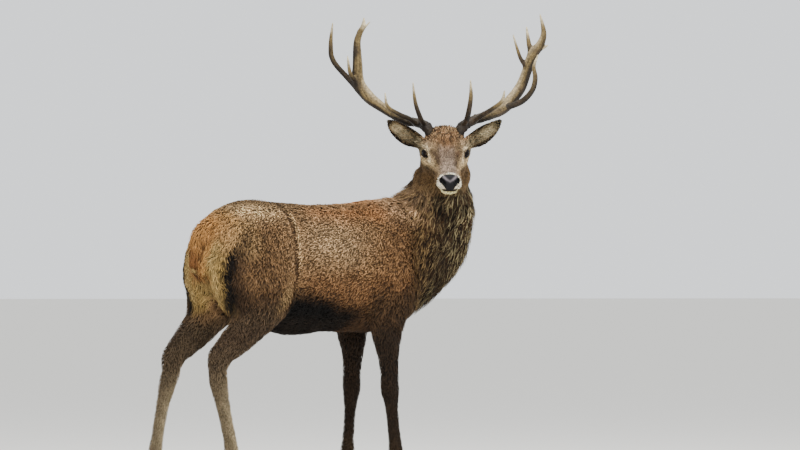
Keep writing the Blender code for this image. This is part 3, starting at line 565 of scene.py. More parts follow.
def mesh_of(name, vertices, faces):
    """A mesh from arrays: one row of corner numbers to each face."""
    made = bpy.data.meshes.new(name)
    made.vertices.add(len(vertices))
    made.vertices.foreach_set("co", np.ascontiguousarray(vertices, np.float32).ravel())
    made.loops.add(faces.size)
    made.loops.foreach_set("vertex_index", np.ascontiguousarray(faces, np.int32).ravel())
    made.polygons.add(len(faces))
    made.polygons.foreach_set("loop_start", np.arange(0, faces.size, faces.shape[1], dtype=np.int32))
    made.update(calc_edges=True)
    return made


def piece_of(name, mesh, slot, *nodes):
    """A smooth piece of the model from a mesh, which takes the place of the named solids."""
    mesh.shade_smooth()
    made = bpy.data.objects.new(name, mesh)
    bpy.context.scene.collection.objects.link(made)
    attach(made, "root")
    if nodes:
        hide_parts(*nodes)
    return made


def normals_of(vertices, triangles):
    """The normal at each vertex: the sum of the area vectors of the triangles round it."""
    a, b, c = (vertices[triangles[:, k]] for k in range(3))
    area = np.cross(b - a, c - a)
    corners = triangles.ravel()
    spread = np.repeat(area, 3, axis=0)
    return unit(np.stack([np.bincount(corners, spread[:, k], len(vertices)) for k in range(3)], axis=1))


# ---- Skin ----
# One hide over the whole body, tanned and glued down on a real mount. It lies under the coat's tips by
# the length that the hair stands up: most in the mane, least on the face, ears and shanks. The face has
# lids, nostrils, a mouth line and a bare nose of its own, and the ears are hollowed to a thin wall.

FINE, COARSE = 0.0055, 0.012
KEPT = 0.06  # how far from the surface distances are kept
ROUNDS = 2  # of smoothing
skin_lines = (
    spaced((-0.68, COARSE), (0.40, FINE), (0.96, FINE)),
    spaced((-0.47, FINE), (0.07, COARSE), (0.28, COARSE)),
    spaced((-0.03, COARSE), (1.13, FINE), (1.60, FINE)),
)
skin_field = sample(stag_form, skin_lines, KEPT)
skin_field = softened(skin_field + by_part(parts_of_body(*np.ix_(*skin_lines)), COAT_DEPTH))
skin_vertices, skin_quads = net(skin_field, skin_lines)
skin_vertices = relaxed(skin_vertices, skin_quads, ROUNDS)


def refined(mesh, chosen):
    """Halves each edge of the mesh between chosen points, and rounds the surface there."""
    shell = bmesh.new()
    shell.from_mesh(mesh)
    shell.verts.ensure_lookup_table()
    picked = [edge for edge in shell.edges if chosen[edge.verts[0].index] and chosen[edge.verts[1].index]]
    cut = bmesh.ops.subdivide_edges(shell, edges=picked, cuts=1, use_grid_fill=True)
    inner = list({v for v in cut["geom_inner"] if isinstance(v, bmesh.types.BMVert)})
    bmesh.ops.smooth_vert(shell, verts=inner, factor=0.5, use_axis_x=True, use_axis_y=True, use_axis_z=True)
    bmesh.ops.triangulate(shell, faces=[face for face in shell.faces if len(face.verts) > 4])
    shell.to_mesh(mesh)
    shell.free()


def read(items, key, kind, width=1):
    """A property of each of a mesh's items, as rows of an array."""
    found = np.empty(len(items) * width, kind)
    items.foreach_get(key, found)
    return found.reshape(-1, width)


def places(mesh):
    """The mesh's points."""
    return read(mesh.vertices, "co", np.float32, 3).astype(float)


EYE_PLACE = np.array((0.014, 0.0825, 0.016))  # forward, outward and up in the head's frame
DOWN_CHEEK = np.array((0.505, 0, -0.863))
EYE_RADIUS = 0.0185
EYE_FACING = unit(np.array((0.72, 0.68, 0.14)))
EYE_LONG = unit(np.array((0.69, -0.64, -0.32)))  # along the slit, to the tear corner
EYE_LONG = unit(EYE_LONG - (EYE_LONG @ EYE_FACING) * EYE_FACING)
EYE_TALL = np.cross(EYE_LONG, EYE_FACING)
EYE_TALL = EYE_TALL * np.sign(EYE_TALL[2])
SLIT_LONG, SLIT_TALL = 0.0185, 0.0100  # half lengths of the open eye
LID, BEHIND_GLASS = 0.0026, 0.0035
FAR = 9.0

NOSE_MIDDLE, NOSE_WIDE, NOSE_TALL = 0.001, 0.0425, 0.0285  # the bare pad, up and half sizes
NOSTRIL = (0.0285, 0.001)
MOUTH_UP, MOUTH_CORNER = -0.0300, 0.122
EAR_WALL = 0.0045


def turned(a, b, cosine, sine):
    """Two offsets turned by an angle."""
    return cosine * a + sine * b, cosine * b - sine * a


def bump(value, width):
    """A rounded ridge of height one round value zero."""
    return np.exp(-((value / width) ** 2))


def off_eye(face):
    """How far points of the face lie from the middle of the nearer eye: forward, outward and up."""
    return np.stack([face[:, 0], np.abs(face[:, 1]), face[:, 2]], axis=1) - EYE_PLACE


def slit_half(along):
    """The open eye's half height, which narrows towards the tear corner."""
    return SLIT_TALL * (1 - 0.50 * ramp(along, 0.002, SLIT_LONG))


def slit_ring(face):
    """0 at the middle of the eye's slit, 1 on its edge, and FAR on the head's other side."""
    off = off_eye(face)
    along, across = off @ EYE_LONG, off @ EYE_TALL
    ring = np.sqrt((along / SLIT_LONG) ** 2 + (across / slit_half(along)) ** 2)
    return np.where(off @ EYE_FACING > 0, ring, FAR)


def below_eye(face):
    """How far points of the face lie below the eye, measured down the cheek."""
    return (face - EYE_PLACE) @ DOWN_CHEEK


def nose_ring(face):
    """0 at the middle of the nose pad and 1 on its edge, which narrows to the lip."""
    up = face[:, 2] - NOSE_MIDDLE
    wide = NOSE_WIDE * (1 - 0.36 * ramp(up, -0.003, -0.014))
    ring = (np.abs(face[:, 1] / wide) ** 2.4 + np.abs(up / NOSE_TALL) ** 2.4) ** (1 / 2.4)
    return ring + 4 * ramp(face[:, 0], 0.226, 0.200)


def nostril_ring(face):
    """0 in the middle of a nostril and 1 on its rim: an oval that trails off upwards and outwards."""
    wide, up = np.abs(face[:, 1]) - NOSTRIL[0], face[:, 2] - NOSTRIL[1]
    along, over = turned(wide, up, 0.80, 0.60)
    body = np.hypot(along / 0.0112, over / 0.0078)
    trail = np.hypot((along - 0.009) / 0.0085, (over - 0.0035) / 0.0040)
    return np.minimum(body, trail) + 4 * ramp(face[:, 0], 0.222, 0.205)


def mouth_gap(face):
    """How far points lie above the line of the mouth, which rises a little to its corner."""
    return face[:, 2] - MOUTH_UP - 0.006 * ramp(face[:, 0], 0.20, MOUTH_CORNER)


def face_relief(face, facing_front):
    """How far the face's details stand out along the skin, and how far its nostrils are pushed back."""
    side, forward, up = np.abs(face[:, 1]), face[:, 0], face[:, 2]
    nose, hole, gap = nose_ring(face), nostril_ring(face), mouth_gap(face)

    # The nose pad stands proud of a groove round it, with rolled nostril rims and a groove to the lip.
    out = 0.0018 * ramp(nose, 1.03, 0.95) - 0.0014 * bump(nose - 1.06, 0.04)
    out += 0.0022 * bump(hole - 1.35, 0.30) * ramp(nose, 1.1, 0.9)
    out -= 0.0016 * bump(face[:, 1], 0.0014) * ramp(up, -0.012, -0.020) * ramp(forward, 0.20, 0.22)

    # The mouth is a groove between two lips, the lower one set inwards.
    mouth = ramp(forward, MOUTH_CORNER - 0.006, MOUTH_CORNER + 0.008)
    lower = ramp(gap, 0.000, -0.006) * ramp(side, 0.022, 0.044)
    lips = 0.0016 * bump(gap - 0.006, 0.004) + 0.0012 * bump(gap + 0.006, 0.004)
    out += (lips - 0.0056 * bump(gap, 0.0024) - 0.0085 * lower) * mouth

    # A brow ridge, the tear gland's slit before the eye, the cheek's edge and a hollow down the muzzle.
    out += 0.0040 * bump(forward + 0.004, 0.024) * bump(up - 0.040, 0.011) * bump(side - 0.074, 0.020)
    along, over = turned(forward - 0.040, up + 0.004, 0.84, 0.54)
    out -= 0.0034 * bump(along, 0.013) * bump(over, 0.0026) * ramp(side, 0.05, 0.06)
    cheek = ramp(forward, 0.13, 0.09) * ramp(forward, 0.0, 0.03) * ramp(side, 0.03, 0.05)
    out += 0.0022 * bump(up + 0.032, 0.010) * cheek
    out -= 0.0025 * bump(forward - 0.10, 0.05) * bump(side - 0.045, 0.016) * ramp(up, -0.03, 0.0)
    return out, 0.012 * ramp(hole, 1.05, 0.55) * facing_front


skin = mesh_of("skin", skin_vertices, skin_quads)
for close_up in (False, True):
    now = places(skin)
    body, face = parts_of_body(*now.T), on_head(now)
    close = (body["head"] > 0.6) | (body["ear"] > 0.3)
    if close_up:
        mouth = (np.abs(mouth_gap(face)) < 0.012) & (face[:, 0] > MOUTH_CORNER - 0.002)
        close = (slit_ring(face) < 1.9) | (nose_ring(face) < 1.25) | mouth
        close &= body["head"] > 0.6
    refined(skin, close)

now = places(skin)
skin.calc_loop_triangles()
triangles = read(skin.loop_triangles, "vertices", np.int32, 3)
normals = normals_of(now, triangles)
body, face = parts_of_body(*now.T), on_head(now)
head_turn = np.array(head_frame.to_3x3())
facing_front = ramp(normals @ head_turn[:, 0], 0.15, 0.35)
out, back = face_relief(face, facing_front)
on_face = ramp(body["head"], 0.5, 0.9)
now += normals * (out * on_face)[:, None] - head_turn[:, 0] * (back * on_face)[:, None]

# Round each eye the skin is drawn over the ball, and inside the slit it drops behind the glass.
off, ring = off_eye(face), slit_ring(face)
bulge = EYE_RADIUS + LID - (LID + BEHIND_GLASS) * ramp(ring, 1.02, 0.94)
drawn = unit(off) * bulge[:, None] - off
drawn[:, 1] *= np.sign(face[:, 1])
now += (drawn @ head_turn.T) * (ramp(ring, 1.95, 1.25) * on_face)[:, None]

# The ears are hollowed to a thin wall.
for word, ear in ear_lofts.items():
    near = np.flatnonzero(body["ear"] > 0.2)
    near = near[np.sign(face[near, 1]) == SIDES[word]]
    _, place, across, above = ear.locate(*now[near].T)
    wide, _, deep = ear.at(place, ear.sizes).T
    run = place / (len(ear.path) - 1)
    hollow = ramp(np.abs(across) / wide, 0.98, 0.55) * ramp(run, 0.06, 0.30) * ramp(run, 0.99, 0.86)
    sunk = -(deep - EAR_WALL) * (1 - 0.35 * (across / wide) ** 2)
    push = np.minimum(sunk - above, 0) * hollow * ramp(above, -0.001, 0.004)
    now[near] += ear.at(place, ear.top) * push[:, None]

skin.vertices.foreach_set("co", (now - TRUNK_ORIGIN).astype(np.float32).ravel())
skin.update()
flesh_nodes = [name for name in frame["nodes"] if not name.startswith(("antler", "hoof", "eye", "dew"))]
piece_of("skin", skin, "coat", *flesh_nodes)

# The hide is darkened as painted shade, which the coat casts on the skin between the hairs.
PAINTED_SHADE_UNDER_COAT = 0.38  # how dark the hide is between the hairs
LIP, LID_RIM = "14100f", "0a0706"
# The nose's pale bands are a painted highlight, a painted reflection of the sky.
BARE_NOSE, NOSE_HIGHLIGHT, NOSTRIL_SHADE = "0e0d0f", "857c7e", "020202"


def ripple(points, size, seed):
    """Smooth noise from about -1 to 1, with features of about the size: a sum of crossed waves."""
    draw = np.random.default_rng(seed)
    total = np.zeros(len(points))
    for _ in range(8):
        way = unit(draw.normal(size=3)) * math.tau / (size * draw.uniform(1.4, 3.2))
        total += np.sin(points @ way + draw.uniform(0, math.tau))
    return total / 3.4


def lay(colours, text, share):
    """Lays another colour over rows of colours, each by its share."""
    colours += (linear(text) - colours) * np.clip(share, 0, 1)[:, None]


def line_gap(x, z, route):
    """How far points of the side view lie behind a line, which is given from its top down."""
    rows = np.array(route[::-1])
    return np.interp(z, rows[:, 1], rows[:, 0]) - x


FLANK_FOLD = [(-0.125, 1.185), (-0.105, 1.159), (-0.092, 1.105), (-0.085, 0.991),
              (-0.081, 0.865), (-0.104, 0.777), (-0.155, 0.710)]
THIGH_STRIPE = [(-0.350, 1.05), (-0.392, 0.99), (-0.418, 0.93), (-0.431, 0.86),
                (-0.421, 0.78), (-0.396, 0.69)]


def looking(loft, place, normals):
    """How squarely normals face the way that the loft's top side does, at places along it."""
    return (normals * loft.at(place, loft.top)).sum(1)


WARMTH = np.array((1.05, 0.98, 0.84))
BACK_EDGE = (0.75, 0.82, 0.91, 1.0), (0.039, 0.021, 0.010, 0.005)  # heights, and the left rump's lag there
TAIL_EDGE = (0.87, 0.93, 1.0, 1.06), (0.014, 0.036, 0.046, 0.048)  # heights, and the tail's half width
# Places forward of the eye, and how far out the dark gutters beside the bridge run there.
GUTTER = (0.0, 0.03, 0.06, 0.09, 0.13, 0.17), (0.066, 0.064, 0.048, 0.041, 0.036, 0.036)


def markings_and_painted_light(points, normals):
    """The colour of the hair tips at each point: layers laid in turn over the brown of the body, the
    markings with painted shade and painted highlights among them.
    """
    x, y, z = points.T
    side, facing = np.abs(y), normals[:, 0]
    body, face = parts_of_body(x, y, z), on_head(points)
    mane, head = body["mane"], body["head"]
    forward, across, up = face.T
    wide, drop = np.abs(across), below_eye(face)
    broad, fine = ripple(points, 0.09, 1), ripple(points, 0.022, 2)
    height = z + 0.02 * broad  # gives what changes with height an uneven edge

    # The trunk: fox-red over the back, buff on the flank and above the rump, dark down the thigh.
    layers = [
        ("ad7a51", 0.85 * ramp(height, 1.05, 1.13) * ramp(x, -0.04, 0.05) * ramp(x, 0.50, 0.38)),
        ("b59b7c", 0.75 * bump(x - 0.08, 0.17) * bump(z - 1.00 - 0.03 * broad, 0.11)),
        ("eacba2", 0.90 * bump(x + 0.29, 0.15) * ramp(height, 1.06, 1.15)),
        ("714f34", 0.60 * ramp(height, 0.93, 0.82) * ramp(x, -0.10, 0.0) * (1 - mane)),
        ("5c4631", 0.80 * bump(x + 0.29, 0.11) * bump(z - 0.92, 0.15) * ramp(side, 0.13, 0.17)),
        ("3c2c1e", 0.85 * ramp(z, 0.88, 0.74) * ramp(x, -0.14, -0.20) * ramp(side, 0.14, 0.18)),
    ]

    # Under the belly, behind the elbow and up the inside of the legs the coat is almost black: partly its
    # own dark hair and partly painted shade beneath the body and between the legs.
    edge = 0.71 + 0.05 * ramp(x, 0.20, -0.10)
    under = ramp(height, edge + 0.080, edge - 0.040) * ramp(x, -0.20, -0.12) * ramp(x, 0.40, 0.24)
    layers += [
        ("090706", under),
        # Painted shade wherever the skin faces down.
        ("1b1511", ramp(-normals[:, 2], 0.5, 0.85) * ramp(z, 0.85, 0.75) * ramp(x, -0.3, -0.2)),
        # Painted shade between the fore legs.
        ("18120e", 0.90 * ramp(side, 0.11, 0.08) * ramp(z, 0.82, 0.76) * ramp(x, 0.2, 0.3)),
    ]

    # The mane: tan at the withers, brown below, darkest down the throat and behind the jaw, with a painted
    # shadow in the hollow under the chin.
    _, _, _, above = neck.locate(x, y, z)
    throat = ramp(above + 0.02 * broad, 0.0, -0.12) * mane * ramp(z, 1.36, 1.26)
    # A painted shadow in the hollow under the chin, down the front of the mane.
    hollow = mane * bump(across + 0.004, 0.038) * ramp(drop, 0.150, 0.185) * ramp(drop, 0.275, 0.230)
    layers += [
        ("674a31", 0.60 * ramp(x - 0.25 * (z - 1.0), 0.27, 0.42) * ramp(height, 1.15, 1.05)),
        ("3c2a19", 0.95 * mane),
        ("b8987a", 0.75 * ramp(height, 1.03, 1.14) * ramp(x, 0.34, 0.48) * ramp(x, 0.68, 0.54)),
        ("2f2318", 0.70 * throat),
        ("1d140e", 0.95 * ramp(z + 0.03 * broad, 0.85, 0.76) * ramp(x, 0.38, 0.47)),
        ("100b07", 0.92 * hollow * ramp(forward, -0.02, 0.04)),
    ]

    # Legs: dark brown fore legs, greyer hind legs with a pale streak down the front of the cannon.
    fore = ramp(z + 0.01 * broad, 0.76, 0.58) * ramp(x, 0.24, 0.30)
    hind = ramp(height, 0.80, 0.62) * ramp(x, -0.12, -0.20)
    shin = ramp(z, 0.52, 0.25) * (0.40 + 0.58 * ramp(facing, -0.5, 0.4))
    layers += [
        ("4b3928", 0.90 * ramp(z, 0.86, 0.74) * ramp(x, 0.26, 0.33) * ramp(side, 0.11, 0.15)),
        ("2d2219", fore),
        ("4d3f2e", 0.60 * fore * ramp(z, 0.26, 0.05)),
        ("574a3c", hind),
        ("45362a", 0.70 * hind * bump(z - 0.62, 0.08) * ramp(side, 0.10, 0.14)),
        ("a8957a", 0.75 * hind * ramp(facing, 0.2, 0.8) * ramp(z, 0.56, 0.44)),
        ("b0a389", hind * shin),
    ]

    # The rump: cream with an orange-buff top, edged at the sides by a black stripe down each thigh.
    back = x + np.interp(z, *BACK_EDGE) * (y > 0)
    behind = line_gap(back, z, THIGH_STRIPE)
    outer = ramp(side, 0.100, 0.120) * ramp(z, 0.66, 0.74)
    stripe = bump(behind, 0.020) * ramp(side, 0.100, 0.120)
    stripe = np.maximum(stripe, bump(side - 0.132, 0.018) * ramp(x, -0.36, -0.40) * (y > 0))
    stripe = stripe * ramp(z + 0.01 * fine, 1.03, 0.93) * ramp(z, 0.66, 0.74)
    layers += [
        ("a08653", ramp(back, -0.325, -0.375) * ramp(side, 0.165, 0.140) * ramp(z, 0.69, 0.75)),
        ("b48a5c", 0.90 * ramp(height, 0.96, 1.03) * ramp(back, -0.30, -0.39)),
        ("ad8f67", 0.80 * bump(side - 0.165, 0.045) * ramp(back, -0.25, -0.33) * ramp(z, 0.90, 1.00)),
        ("2f2117", 0.72 * bump(behind + 0.030, 0.034) * outer * ramp(z, 1.09, 1.02)),
        ("110c09", 1.15 * stripe),
    ]

    # The tail: buff with a brown root line, a dark tip edged in cream and deepened by painted shadow under
    # the tail, and a painted shadow line round the tail on the rump.
    dock = ramp(back, -0.385, -0.415) * ramp(side, 0.078, 0.058) * ramp(z, 0.86, 0.93)
    rear = ramp(x, -0.37, -0.41)
    # A painted shadow line where the tail's edge meets the rump.
    beside = bump(side - np.interp(z, *TAIL_EDGE), 0.009) * ramp(back, -0.40, -0.43)
    cream = bump(side - 0.092, 0.022) * ramp(back, -0.36, -0.40)
    layers += [
        ("bd8c56", np.maximum(body["tail"], 0.8 * dock)),
        ("7c4f2e", 0.80 * body["tail"] * ramp(z, 1.02, 0.94) * ramp(side, 0.045, 0.020)),
        # The tail's dark tip, with painted shadow under the tail.
        ("35200f", 0.95 * bump(z - 0.895, 0.030) * ramp(side, 0.040, 0.020) * rear),
        ("b79d68", 0.90 * ramp(z, 0.862, 0.845) * ramp(side, 0.060, 0.045) * rear),
        ("412614", 0.85 * beside * ramp(z, 0.85, 0.88) * ramp(z, 1.06, 1.00)),
        ("6b4a30", 0.60 * bump(y + 0.014, 0.007) * ramp(x, -0.31, -0.34) * ramp(z, 1.04, 1.08)),
        ("cab07c", 0.60 * cream * ramp(z, 0.72, 0.78) * ramp(z, 1.04, 0.98)),
    ]

    # The flank's fold: a pale ridge, a painted highlight where the fold catches the light, painted shade in
    # the gutter behind it, and a pale web over the stifle.
    fold = line_gap(x, z, FLANK_FOLD)
    by_fold = ramp(side, 0.06, 0.12) * ramp(z, 0.70, 0.75) * ramp(z, 1.20, 1.16)
    lit_fold = by_fold * ramp(z, 1.16, 1.10) * ramp(z, 0.84, 0.99)
    layers += [
        ("a08763", 0.75 * bump(fold - 0.058, 0.030) * bump(z - 0.775, 0.055) * ramp(side, 0.12, 0.15)),
        # Painted shade in the gutter behind the fold's ridge.
        ("3f2d20", 0.75 * bump(fold - 0.014, 0.009) * by_fold),
        # A painted highlight along the fold's ridge.
        ("dcbb92", 0.90 * bump(fold + 0.005, 0.0085) * lit_fold),
    ]

    # The head's sides: a painted shadow line under the cheek's edge and a brown jaw under a pale patch
    # below the eye.
    jaw_line = drop - 0.69 * (0.118 - wide)
    low_cheek = ramp(jaw_line - 0.034, -0.004, 0.008) * ramp(wide, 0.042, 0.054)
    jaw = np.maximum(ramp(up + 0.10 * ramp(forward, 0.10, 0.20), -0.026, -0.046), low_cheek)
    # A painted shadow line under the cheek's raised edge.
    cheek_edge_shadow = bump(jaw_line - 0.036, 0.0055) * ramp(wide, 0.055, 0.070) * ramp(forward, -0.03, 0.02)
    patch = bump(drop - 0.026 - 0.55 * (0.108 - wide), 0.015) * ramp(wide, 0.044, 0.060)
    patch = patch * ramp(drop, 0.008, 0.020) * ramp(forward, -0.025, 0.020)
    over_eye = bump(forward + 0.020, 0.040) * bump(wide - 0.082, 0.026) * ramp(up, 0.022, 0.034)
    face_layers = [
        ("a38d70", 1.0),
        ("5f4a34", 0.80 * ramp(wide, 0.094, 0.110) * ramp(drop + 0.01 * fine, 0.040, 0.015)),
        ("68533a", jaw),
        ("3b2b1c", 0.70 * cheek_edge_shadow),
        ("d5bf98", 0.85 * patch),
        ("c2b39a", 0.80 * over_eye),
    ]

    # The bridge and brow: grey between two dark gutters, then fox-red curls with dark flecks.
    gutter = bump(wide - np.interp(forward, *GUTTER), 0.0110) * (1 + 0.3 * fine)
    gutter = gutter * ramp(forward, 0.02, 0.05) * ramp(forward, 0.17, 0.12) * ramp(up, -0.02, 0.01)
    brow = ramp(forward + 0.010 * broad + 0.60 * wide, 0.074, 0.010) * ramp(up, 0.0, 0.030)
    speckle = ramp(ripple(points, 0.011, 3), -0.1, 0.5)
    between = bump(drop - 0.008, 0.028) * ramp(wide, 0.062, 0.036)
    root = np.hypot(forward - CORONET[0], wide - CORONET[1])
    face_layers += [
        ("a7968c", 0.85 * ramp(wide, 0.046, 0.026) * ramp(up, -0.01, 0.02) * ramp(forward, 0.0, 0.05)),
        ("4a382a", 0.80 * gutter),
        ("836043", 0.85 * brow),
        ("66503f", 0.45 * between * (1 - brow)),
        ("22170f", 0.80 * brow * speckle),
        ("4a3a2c", 0.45 * (1 - brow) * ramp(forward, 0.16, 0.04) * speckle * ramp(up, 0.0, 0.03)),
        ("211811", 0.85 * ramp(forward, -0.074, -0.105) * ramp(up, 0.03, 0.06)),
        ("1c140e", 0.90 * ramp(root, 0.042, 0.028) * ramp(up, 0.03, 0.05)),
    ]

    # Round the eye a pale ring and dark lids, with the tear gland before them; pale muzzle and chin, and
    # painted shadow under the upper lip.
    ring, gap = slit_ring(face), mouth_gap(face)
    along, over = turned(forward - 0.033, up - 0.006, 0.92, -0.38)
    muzzle = nose_ring(face) - 0.40 * ramp(up, 0.012, 0.030) - 0.42 * ramp(up, 0.0, -0.016)
    muzzle = ramp(muzzle, 1.78, 1.56) * ramp(forward, 0.150, 0.180) * ramp(gap, -0.004, 0.0)
    chin = ramp(gap, -0.003, -0.006) * ramp(forward, 0.15, 0.175) * ramp(up, -0.084, -0.072)
    # Painted shadow under the sides of the upper lip.
    shadow_under_lip = bump(gap + 0.004, 0.006) * ramp(forward, 0.11, 0.14) * ramp(wide, 0.030, 0.044)
    lip_line = bump(gap + 0.001, 0.0040) * ramp(forward, 0.12, 0.15)
    face_layers += [
        ("dccdb2", 0.75 * bump(ring - 2.6, 0.7) * (ring < FAR - 1)),
        ("17100c", ramp(ring, 1.90, 1.45)),
        ("1d1510", 0.95 * bump(along, 0.013) * bump(over, 0.0055) * ramp(wide, 0.04, 0.055)),
        ("fff4e2", muzzle),
        ("eee3b4", chin * ramp(wide, 0.050, 0.042)),
        ("1d1611", np.maximum(0.9 * shadow_under_lip, lip_line)),
    ]
    layers += [(text, head * share) for text, share in face_layers]

    # Ears: grey-brown backs, black rims, pale inside.
    for word, ear in ear_lofts.items():
        _, place, over_ear, _ = ear.locate(x, y, z)
        run = place / (len(ear.path) - 1)
        mine = body["ear"] * (np.sign(across) == SIDES[word])
        edge = np.abs(over_ear) / ear.at(place, ear.sizes[:, 0])
        rim = ramp(edge + 0.05 * fine, 0.58, 0.78) + ramp(run, 0.76, 0.88)
        layers += [
            ("77644e", mine),
            ("a39578", 0.95 * mine * ramp(looking(ear, place, normals), -0.1, 0.3)),
            ("51402c", 0.85 * mine * ramp(edge + 0.08 * fine, 0.30, 0.72) * ramp(run, 0.05, 0.2)),
            ("14100e", mine * rim * ramp(run, 0.12, 0.28)),
        ]

    colours = np.tile(linear("876a4d"), (len(points), 1))
    for text, share in layers:
        lay(colours, text, share)
    return colours * (1 + 0.10 * broad + 0.12 * fine)[:, None] * WARMTH


def bare_share(face, body):
    """Where the skin carries no hair: the nose pad, the lips' edges and the rims of the lids."""
    nose, lids = ramp(nose_ring(face), 1.06, 0.98), ramp(slit_ring(face), 1.30, 1.18)
    mouth = ramp(face[:, 0], MOUTH_CORNER, MOUTH_CORNER + 0.01)
    lips = 1.4 * bump(mouth_gap(face) + 0.0008, 0.0040) * mouth
    return np.maximum.reduce([nose, lips, lids]) * ramp(body["head"], 0.5, 0.8)


def painted(mesh, name, colours):
    """A colour for each vertex, kept on the mesh."""
    layer = mesh.color_attributes.new(name, "FLOAT_COLOR", "POINT")
    rows = np.ones((len(colours), 4), np.float32)
    rows[:, :3] = np.clip(colours, 0, 1)
    layer.data.foreach_set("color", rows.ravel())


skin_points, skin_triangles = now.copy(), triangles
skin_normals = normals_of(skin_points, skin_triangles)
bare, ring, nose = bare_share(face, body), slit_ring(face), nose_ring(face)
# The hide takes the coat's colours, darkened as painted shade under the coat.
hide = markings_and_painted_light(skin_points, skin_normals) * PAINTED_SHADE_UNDER_COAT
on_pad = bare * ramp(nose, 1.10, 1.02)
# A painted highlight, the sky's reflection on the wet pad: two pale bands from the inner sides of the
# nostrils' tops down to the pad's middle.
wide = np.abs(face[:, 1])
band = face[:, 2] - NOSE_MIDDLE - 0.005 - 0.50 * wide
gleam = bump(band, 0.0044) * ramp(nose, 0.98, 0.80) * (0.60 + 0.40 * ramp(wide, 0.004, 0.018))
lay(hide, BARE_NOSE, on_pad)
lay(hide, NOSE_HIGHLIGHT, 0.62 * on_pad * gleam)
# The nostrils' insides and rims are painted near black as painted shade in the holes.
lay(hide, NOSTRIL_SHADE, on_pad * ramp(nostril_ring(face), 1.55, 1.05))
lay(hide, LIP, bare * (nose > 1.06) * (ring > 2))
lay(hide, LID_RIM, bare * (ring < 1.5))
painted(skin, "Hide", hide)
layer = skin.attributes.new("Bare", "FLOAT", "POINT")
layer.data.foreach_set("value", bare.astype(np.float32))

def speckled(tree, paint, noise, dark, light):
    """Adds nodes that darken and lighten the paint by a noise, between two factors."""
    grain = node(tree, "MapRange", {"Value": noise}, From_Min=0.3, From_Max=0.7, To_Min=dark, To_Max=light)
    return node(tree, "VectorMath", {0: paint, "Scale": grain}, operation="SCALE")


# Hide of a red deer: matt short hair over leather, with a wet pebbled pad at the nose.
HAIR_GRAIN, PEBBLE = 0.0022, 0.0017
hide_look, tree, shader = surface("deer_hide")
paint = node(tree, "Attribute", attribute_name="Hide")
bareness = node(tree, "Attribute", attribute_name="Bare").outputs["Fac"]
place = node(tree, "TexCoord").outputs["Object"]
hairs = node(tree, "TexNoise", {"Vector": place}, Scale=1 / HAIR_GRAIN, Detail=3.0)
pebbles = node(tree, "TexVoronoi", {"Vector": place}, Scale=1 / PEBBLE)
shade = speckled(tree, paint, hairs, 0.75, 1.25)
rough = node(tree, "MapRange", {"Value": bareness}, To_Min=0.85, To_Max=0.36)
mixed = node(tree, "Mix", {"Factor": bareness, "A": hairs, "B": pebbles})
relief = node(tree, "Bump", {"Height": mixed}, Strength=0.6, Distance=0.0008)
node(tree, shader, {"Base Color": shade, "Roughness": rough, "Normal": relief}, Specular_IOR_Level=0.12)
skin.materials.append(hide_look)


# ---- Coat ----
# Locks of guard hair over the whole hide, each a thin three-sided blade that leaves the skin at its root,
# bends over and lies along the body, from the nose backwards, down the neck and towards the feet. The
# hair is shortest on face and shanks, and longest in the mane. It is pale at the tip and dark at the
# root, partly from its own banding and partly as painted shade among the locks.


MELT = 0.030  # over how far the lie of one part of the body passes into the next


def lie_of_coat(points, normals, body):
    """The way the hair lies along the skin: that of the parts of the body nearby, and its own weight's."""
    pulls = [(barrel, -1), (neck, -1), (skull, -1), (tail, 1)]
    pulls += [(loft, 1) for lofts in (ear_lofts.values(), *leg_lofts.values()) for loft in lofts]
    gaps = np.full((len(pulls), len(points)), np.inf)
    ways = np.zeros((len(pulls), len(points), 3))
    for k, (loft, sign) in enumerate(pulls):
        near = np.flatnonzero(((points > loft.low - KEPT) & (points < loft.high + KEPT)).all(1))
        spot = points[near].T
        gaps[k, near] = loft.distance(*spot)
        ways[k, near] = sign * loft.at(loft.locate(*spot)[1], loft.along)
    nearest = gaps.min(0)
    weight = np.exp(-np.minimum(gaps - nearest, FAR) / MELT)
    way = (ways * weight[:, :, None]).sum(0) / weight.sum(0)[:, None]
    trunk_share = (1 - body["mane"]) * (1 - body["head"]) * (1 - body["ear"])
    way[:, 2] -= (0.45 * np.abs(normals[:, 1]) + 0.9 * ramp(-normals[:, 0], 0.2, 0.9)) * trunk_share
    way[:, 2] -= (0.45 + 0.7 * ramp(normals[:, 0], 0.0, 0.8)) * body["mane"]
    forward, _, up = on_head(points).T
    way[:, 2] -= 1.6 * body["head"] * ramp(up, -0.05, -0.09) * ramp(forward, 0.02, 0.10)
    return way - (way * normals).sum(1, keepdims=True) * normals


